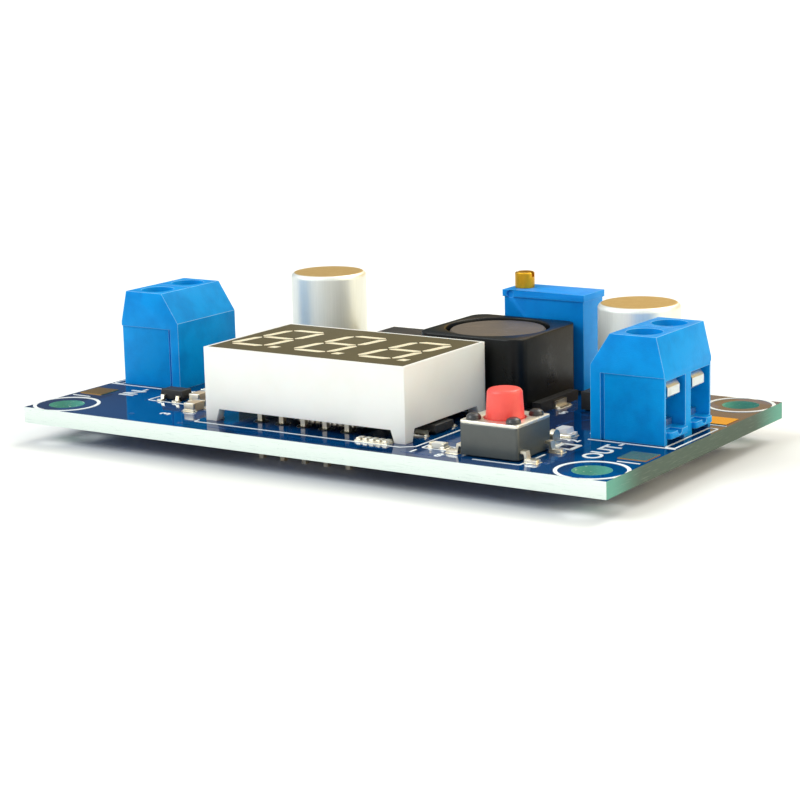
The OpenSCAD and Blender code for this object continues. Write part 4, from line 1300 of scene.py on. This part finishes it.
    def print_words(self) -> None:
        """The plain words at the four wire ways, and digits beside small parts."""
        large, small, taller = self.word_size, self.digit_size, self.tall_digit_size
        for number, (text, x, y, turn, size) in enumerate((
            ("OUT-", 28.35, -11.3, 90, large), ("OUT+", 28.35, 6.0, 90, large),
            ("IN-", -26.7, -9.0, 90, large), ("IN+", -26.7, 6.2, 90, large),
            ("1", 11.9, -16.5, 0, small), ("2", 23.7, -6.3, 90, taller),
            ("3", -17.5, -14.4, 90, taller), ("4", 16.6, -1.2, 0, small),
            ("5", 16.1, 3.6, 0, small), ("6", -22.6, -5.2, 0, small),
            ("7", 22.9, -2.6, 0, small), ("8", 14.9, -16.9, 0, small),
        )):
            mesh = Word(text, x, y, turn, size).mesh(self.ink_height)
            self.add(f"printed_word_{number}", mesh, INK, Body.BOARD, "solder_mask")

    def lay_traces(self) -> None:
        """Copper traces and wider power runs under the mask."""
        fine = (
            ((12.6, -11.2), (13.8, -11.2), (15.2, -9.8), (15.2, -5.4), (16.4, -4.2), (16.4, -0.4)),
            ((23.9, -15.9), (25.2, -14.6), (25.2, -13.9)),
            ((25.2, -11.2), (25.2, -6.4), (24.6, -5.6)),
            ((11.4, -16.7), (15.6, -16.7), (16.8, -15.5)),
            ((-14.2, -16.6), (9.6, -16.6)),
            ((-14.6, -16.9), (-17.6, -13.9), (-17.6, -8.6), (-15.0, -6.0), (-13.6, -6.0)),
            ((-24.0, -9.6), (-22.2, -11.4), (-18.9, -11.4)),
            ((-15.6, -11.4), (-14.4, -10.2), (-13.2, -10.2)),
            ((18.9, -1.0), (18.9, 1.2), (20.6, 2.9), (23.4, 2.9)),
            ((16.2, 5.0), (17.4, 5.0), (18.2, 4.2), (20.0, 4.2)),
            ((-11.8, 11.7), (-11.8, 8.7), (-11.8, 6.2)),
            ((-26.4, 12.4), (-24.0, 10.0), (-22.6, 10.0)),
        )
        wide = (
            ((24.6, -12.6), (26.2, -12.6)),
            ((14.6, 9.4), (16.2, 9.4), (16.2, 7.6)),
            ((-12.9, 2.0), (-10.4, 2.0), (-10.4, 5.6)),
            ((-5.4, 5.6), (-5.4, 2.6), (1.8, 2.6)),
        )
        for name, routes, width, height, corner in (
            ("masked_traces", fine, self.trace_width, self.trace_height, 0.3),
            ("masked_power_runs", wide, self.power_run_width, self.power_run_height, 0.4),
        ):
            self.ribbon(name, [Path(route) for route in routes], width, height, TRACE, corner)

    def stud_vias(self) -> None:
        """Small plated vias along the traces."""
        spots = [
            (16.4, -0.4), (25.2, -14.6), (15.2, -7.4), (16.8, -15.5), (-14.2, -16.6),
            (-24.0, -9.6), (-17.6, -8.6), (18.9, -1.0), (23.4, 2.9), (20.0, 4.2), (-11.8, 6.2),
            (-26.4, 12.4), (25.2, -3.6), (13.2, -8.8), (13.2, -6.6), (18.2, -4.6),
            (-21.2, -15.4), (-24.6, -6.2), (16.4, 11.2), (1.2, 12.9), (1.2, 15.6), (-1.2, 1.4),
        ]
        seed = self.points("via_spots", [(x, y, BOARD_TOP) for x, y in spots])
        self.grow(
            "plated_vias", seed, StudTree(), self.via.values(), TRACE, Body.BOARD, "solder_mask"
        )


@dataclass(frozen=True)
class Word:
    """A printed word, with the start of its base line, turn and height in millimetres."""

    text: str
    x: float
    y: float
    turn: float
    size: float
    capital_share: float = 0.7
    boldness: float = 0.035

    def mesh(self, height: float) -> bpy.types.Mesh:
        """Makes the word a flat mesh in its place.

        Args:
            height: How far the ink stands above the board.

        Returns:
            The mesh.
        """
        curve = bpy.data.curves.new("word", "FONT")
        curve.body = self.text
        curve.size = self.size * MM / self.capital_share
        curve.extrude = height * MM
        curve.offset = self.boldness * MM
        curve.resolution_u = 4
        mesh = settled(shown("word", curve))
        mesh.transform(
            Matrix.Translation(Vector((self.x, self.y, BOARD_TOP)) * MM)
            @ Matrix.Rotation(math.radians(self.turn), 4, "Z")
        )
        return mesh


@dataclass
class SolderWork(Workshop):
    """Pads and wetted solder under every surface lead, and rings round pins, in millimetres."""

    pad_margin: float = 0.22
    pad_height: float = 0.05
    pad_sharpness: float = 0.9
    solder_margin: float = 0.12
    solder_height: float = 0.22
    solder_sharpness: float = 0.35
    tall_solder_height: float = 0.34
    pin_ring: Ring = Ring(radius=0.78, height=0.12, bore=0.2)
    tall_solder_nodes: tuple[str, ...] = ("button_legs", "glass_diode_caps")
    round_end_nodes: tuple[str, ...] = ("glass_diode_caps",)
    foot_height: float = 0.3
    front_row_depth: float = 3.7
    lead_nodes: tuple[str, ...] = (
        "button_legs", "inductor_contacts", "capacitor_contacts", "regulator_leads",
        "flywheel_diode_contacts", "flat_diode_contacts", "glass_diode_caps", "controller_legs",
        "logic_supply_legs", "resistor_ends", "chip_capacitor_ends", "indicator_body",
    )

    def build(self) -> None:
        """Dresses the solder joints, then lays pads and solder under the leads and rings round the
        pins.
        """
        self.dress(SOLDER, "solder_joints")
        pads: list[Footprint] = []
        fillets: list[Footprint] = []
        for node in self.lead_nodes:
            tall = node in self.tall_solder_nodes
            for foot in self.footprints(node, node not in self.round_end_nodes):
                pads.append(foot.grown(self.pad_margin, self.pad_height))
                fillets.append(foot.grown(
                    self.solder_margin, self.tall_solder_height if tall else self.solder_height
                ))
        self.lay("solder_pads", pads, self.pad_sharpness, TIN)
        self.lay("solder_fillets", fillets, self.solder_sharpness, SOLDER)
        self.ring_pins()

    def chip_spots(self) -> list[tuple[float, float, bool]]:
        """Finds the chip resistors that get a printed outline: all but the front row.

        Returns:
            The middle of each, and whether it lies along Y.
        """
        spots = []
        for foot in self.footprints("resistor_bodies", False):
            x, y, _ = foot.middle()
            if y > self.front_row_depth - HALF_WIDTH:
                spots.append((x, y, foot.rear - foot.front > foot.right - foot.left))
        return spots

    def footprints(self, node: str, low_only: bool) -> list["Footprint"]:
        """Finds where each solid of a lead node meets the board.

        Args:
            node: The lead node.
            low_only: Whether to keep only what lies on the board.

        Returns:
            One footprint for each solid.
        """
        work = self.merged(node)
        left = set(work.verts)
        found = []
        for start in work.verts:
            heap = [start] if start in left else []
            left.discard(start)
            island = []
            while heap:
                vert = heap.pop()
                island.append(vert.co / MM)
                for edge in vert.link_edges:
                    other = edge.other_vert(vert)
                    if other in left:
                        left.remove(other)
                        heap.append(other)
            if low_only:
                island = [v for v in island if v.z < BOARD_TOP + self.foot_height]
            if island:
                xs, ys = [v.x for v in island], [v.y for v in island]
                found.append(Footprint(min(xs), min(ys), max(xs), max(ys)))
        work.free()
        return found

    def lay(self, name: str, feet: list["Footprint"], sharpness: float, finish: Finish) -> None:
        """Lays a pillow on each footprint.

        Args:
            name: The piece's name.
            feet: The footprints.
            sharpness: How boxy the pillows are, from 0 to 1.
            finish: Their finish.
        """
        seed = self.points(name, [foot.middle() for foot in feet])
        span = seed.attributes.new("span", "FLOAT_VECTOR", "POINT")
        span.data.foreach_set("vector", [v for foot in feet for v in foot.span()])
        self.grow(name, seed, PillowTree(), {"Sharpness": sharpness}, finish, Body.BOARD, "solder")

    def ring_pins(self) -> None:
        """Solder drawn up round the pins on the component side."""
        spots = [
            foot.middle()
            for node in ("display_pins", "trimmer_pins")
            for foot in self.footprints(node, False)
        ]
        self.grow(
            "pin_solder_rings", self.points("pin_spots", spots), StudTree(),
            self.pin_ring.values(), SOLDER, Body.BOARD, "solder",
        )


@dataclass(frozen=True)
class Footprint:
    """A lead's place on the board, in millimetres."""

    left: float
    front: float
    right: float
    rear: float
    height: float = 0.0

    def grown(self, margin: float, height: float) -> "Footprint":
        """The same place with a margin all round and another height."""
        return Footprint(
            self.left - margin, self.front - margin,
            self.right + margin, self.rear + margin, height,
        )

    def middle(self) -> tuple[float, float, float]:
        """The middle, on the board."""
        return (self.left + self.right) / 2, (self.front + self.rear) / 2, BOARD_TOP

    def span(self) -> tuple[float, float, float]:
        """The size in metres; half of its height is in the board."""
        return (self.right - self.left) * MM, (self.rear - self.front) * MM, 2 * self.height * MM


class Side(Enum):
    """The two ends of the board, by their terminal blocks."""

    IN = "in"
    OUT = "out"


@dataclass(frozen=True)
class Thread:
    """A screw thread's sizes, in millimetres, and its number of turns."""

    radius: float
    rise: float
    turns: float
    wire: float
    root: float

    def values(self) -> dict[str, Value]:
        """The thread tree's named sizes."""
        return {
            "Radius": self.radius * MM, "Rise": self.rise * MM, "Turns": self.turns,
            "Wire": self.wire * MM,
        }

    def start(self, screw: str) -> tuple[float, float, float]:
        """Where the thread starts, on the axis of a screw."""
        low, high = corners(screw)
        return (low.x + high.x) / 2, (low.y + high.y) / 2, low.z + self.root


@dataclass
class TerminalBlock(Workshop):
    """One terminal block: housing, clamps, leaves and screws."""

    side: Side
    edge_radius: float = 0.11
    thread: Thread = Thread(radius=1.2, rise=3.9, turns=8.7, wire=0.045, root=0.12)

    def build(self) -> None:
        """Softens the housing, dresses the metal and cuts the screws' threads."""
        side = self.side.value
        self.soften(side + "_terminal_housing", AZURE, self.edge_radius, "terminal_plastic")
        self.dress(STEEL, side + "_terminal_clamps")
        for end in ("front", "rear"):
            screw = f"{side}_{end}_screw"
            self.dress(STEEL, f"{side}_{end}_leaf", screw)
            self.grow(
                screw + "_thread", self.points(screw + "_root", [self.thread.start(screw)]),
                ThreadTree(), self.thread.values(), STEEL, Body(screw), "plated_steel",
            )


@dataclass
class Display(Workshop):
    """The three-digit display."""

    edge_radius: float = 0.09

    def build(self) -> None:
        """Softens the shell and dresses the face, bars, carrier and pins."""
        self.soften("display_shell", WHITE_SHELL, self.edge_radius, "display_plastic")
        self.dress(FILM, "display_face")
        self.dress(CREAM_BAR, "display_light_bars")
        self.dress(CARRIER, "display_carrier")
        self.dress(TIN, "display_pins")


@dataclass
class PushButton(Workshop):
    """The push button."""

    body_edge: float = 0.07
    cover_edge: float = 0.06

    def build(self) -> None:
        """Softens the body and cover, and dresses the rest."""
        self.soften("button_base", CHARCOAL, self.body_edge, "button_plastic")
        self.soften("button_cover", COVER_STEEL, self.cover_edge, "button_steel")
        self.dress(RIVET_BLACK, "button_rivets")
        self.dress(CORAL, "button_plunger")
        self.dress(SPRING, "button_dome")
        self.dress(TIN, "button_legs")


@dataclass
class Trimmer(Workshop):
    """The multi-turn trimmer."""

    edge_radius: float = 0.12
    worm: Thread = Thread(radius=0.5, rise=6.2, turns=11.0, wire=0.06, root=0.3)

    def build(self) -> None:
        """Softens the housing, dresses the works and winds the worm."""
        self.soften("trimmer_housing", TRIMMER_AZURE, self.edge_radius, "trimmer_plastic")
        self.dress(BRASS, "trimmer_screw")
        self.dress(IVORY, "trimmer_wiper_wheel")
        self.dress(CERAMIC, "trimmer_element")
        self.dress(TRIMMER_AZURE, "trimmer_foot")
        self.dress(TIN, "trimmer_pins")
        self.grow(
            "trimmer_worm_thread", self.points("worm_root", [self.worm.start("trimmer_screw")]),
            ThreadTree(), self.worm.values(), BRASS, Body.TRIMMER_SCREW, "brass",
        )


@dataclass
class Inductor(Workshop):
    """The shielded inductor."""

    edge_radius: float = 0.16

    def build(self) -> None:
        """Softens the shield and dresses the drum, winding, base and contacts."""
        self.soften("inductor_shield", FERRITE, self.edge_radius, "ferrite")
        self.dress(DRUM_FERRITE, "inductor_drum")
        self.dress(COPPER_WIRE, "inductor_winding")
        self.dress(EPOXY, "inductor_base")
        self.dress(TIN, "inductor_contacts")


@dataclass
class Capacitors(Workshop):
    """The two can capacitors."""

    edge_radius: float = 0.1

    def build(self) -> None:
        """Dresses the cans and softens their moulded bases."""
        self.dress(CAN, "capacitor_cans")
        self.soften("capacitor_bases", EPOXY, self.edge_radius, "black_moulding")
        self.dress(TIN, "capacitor_contacts")


@dataclass
class Regulator(Workshop):
    """The switching regulator."""

    edge_radius: float = 0.12

    def build(self) -> None:
        """Softens the body and dresses the tab and leads."""
        self.soften("regulator_body", EPOXY, self.edge_radius, "black_moulding")
        self.dress(TIN, "regulator_tab", "regulator_leads")


@dataclass
class SmallParts(Workshop):
    """Diodes, lamp, chips, resistors and chip capacitors."""

    edge_radius: float = 0.07
    resistor_edge: float = 0.03
    capacitor_edge: float = 0.05
    resistor_end_edge: float = 0.05
    capacitor_end_edge: float = 0.06

    def build(self) -> None:
        """Softens the moulded bodies and dresses every small part."""
        for part in ("flywheel_diode", "flat_diode", "controller", "logic_supply"):
            self.soften(part + "_body", EPOXY, self.edge_radius, "black_moulding")
        self.soften("resistor_bodies", CERAMIC, self.resistor_edge, "chip_ceramic")
        self.soften("chip_capacitor_bodies", TAN_CERAMIC, self.capacitor_edge, "chip_tan")
        self.soften("resistor_ends", TIN, self.resistor_end_edge, "lead_metal")
        self.soften("chip_capacitor_ends", TIN, self.capacitor_end_edge, "lead_metal")
        self.dress(TIN, "flywheel_diode_contacts", "flat_diode_contacts", "glass_diode_caps",
                   "controller_legs", "logic_supply_legs")
        self.dress(GLASS, "glass_diode_body")
        self.dress(WHITE_SHELL, "indicator_body")
        self.dress(LENS, "indicator_lens")


@dataclass(frozen=True)
class Softbox:
    """A soft distant lamp: where it stands, its strength and the angle that it fills."""

    name: str
    turn: float
    rise: float
    power: float
    spread: float
    colour: Colour

    def build(self) -> None:
        """Hangs the lamp."""
        lamp = bpy.data.lights.new(self.name, "SUN")
        lamp.energy = self.power
        lamp.angle = math.radians(self.spread)
        lamp.color = self.colour
        back = direction(self.turn, self.rise)
        shown(self.name, lamp).rotation_euler = back.to_track_quat("Z", "Y").to_euler()


@dataclass
class Studio:
    """The floor, the light and the camera."""

    azimuth: float = 33.70
    elevation: float = 11.94
    roll: float = -1.42
    distance: float = 208.9
    target: tuple[float, float, float] = (6.9, -9.9, 6.6)
    focal: float = 100.76
    sky: float = 0.5
    floor_reach: float = 4000.0
    lamps: tuple[Softbox, ...] = (
        Softbox("front_softbox", -40, 42, 1.75, 36, (0.92, 1.0, 1.0)),
        Softbox("rear_softbox", 170, 52, 1.25, 30, (1.0, 0.99, 0.92)),
        Softbox("warm_bounce", 106, 24, 1.4, 50, (1.0, 0.89, 0.56)),
    )
    backdrop_left: Colour = linear(108, 110, 116)
    backdrop_middle: Colour = linear(56, 76, 84)
    backdrop_right: Colour = linear(242, 196, 98)

    def build(self) -> None:
        """Sets the whole studio up."""
        bpy.context.scene.view_settings.view_transform = "Standard"
        self.lay_floor()
        self.light_sky()
        for lamp in self.lamps:
            lamp.build()
        self.set_camera()

    def lay_floor(self) -> None:
        """A plain pale floor, level with the lead ends."""
        reach = self.floor_reach * MM
        mesh = bpy.data.meshes.new("studio_floor")
        mesh.from_pydata(
            [(-reach, -reach, 0), (reach, -reach, 0), (reach, reach, 0), (-reach, reach, 0)],
            [], [(0, 1, 2, 3)],
        )
        mesh.materials.append(FLOOR.material())
        made = shown("studio_floor", mesh)

    def light_sky(self) -> None:
        """Even light from all round, white to the camera; gloss also sees a low rear backdrop."""
        world = bpy.data.worlds.new("studio_sky")
        bpy.context.scene.world = world
        world.use_nodes = True
        sheet = Sheet(world.node_tree)
        seen, gloss, through = (
            sheet.node("ShaderNodeLightPath", {}, {}, output=f"Is {ray} Ray")
            for ray in ("Camera", "Glossy", "Transmission")
        )
        way = sheet.node("ShaderNodeTexCoord", {}, {}, output="Generated")
        across = way.part("X")
        left = sheet.mix(across.soft(-0.68, -0.58), self.backdrop_left, self.backdrop_middle)
        backdrop = sheet.mix(across.soft(-0.5, -0.42), left, self.backdrop_right)
        behind = way.part("Y").soft(0.0, 0.5) * (1 - way.part("Z").soft(0.3, 0.75))
        background = world.node_tree.nodes["Background"].inputs
        sheet.plug(background["Color"], sheet.mix(gloss * behind, (1.0, 1.0, 1.0), backdrop))
        lit = (seen + gloss + through) > 0.5
        sheet.plug(background["Strength"], lit * (1 - self.sky) + self.sky)

    def set_camera(self) -> None:
        """Places the camera, a little rolled."""
        back = direction(self.azimuth, self.elevation)
        tilt = math.radians(self.roll)
        right = (-back).cross(Vector((0, 0, 1))).normalized()
        over = right.cross(-back)
        side = math.cos(tilt) * right + math.sin(tilt) * over
        top = -math.sin(tilt) * right + math.cos(tilt) * over
        lens = bpy.data.cameras.new("studio_camera")
        lens.lens = self.focal
        lens.sensor_width = 36
        lens.clip_start = 0.01
        made = shown("studio_camera", lens)
        spot = Vector(self.target) * MM + back * self.distance * MM
        turned = Matrix((side, top, back)).transposed().to_4x4()
        made.matrix_world = Matrix.Translation(spot) @ turned
        bpy.context.scene.camera = made


def main() -> None:
    """Builds every sub-assembly in order."""
    logging.basicConfig(level=logging.INFO, format="%(name)s: %(message)s")
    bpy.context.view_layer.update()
    Studio().build()
    solder = SolderWork()
    for assembly in (
        Board(chip_spots=solder.chip_spots()), TerminalBlock(Side.IN), TerminalBlock(Side.OUT),
        Display(), PushButton(), Trimmer(), Inductor(), Capacitors(), Regulator(), SmallParts(),
        solder,
    ):
        assembly.build()


if __name__ == "__main__":
    main()
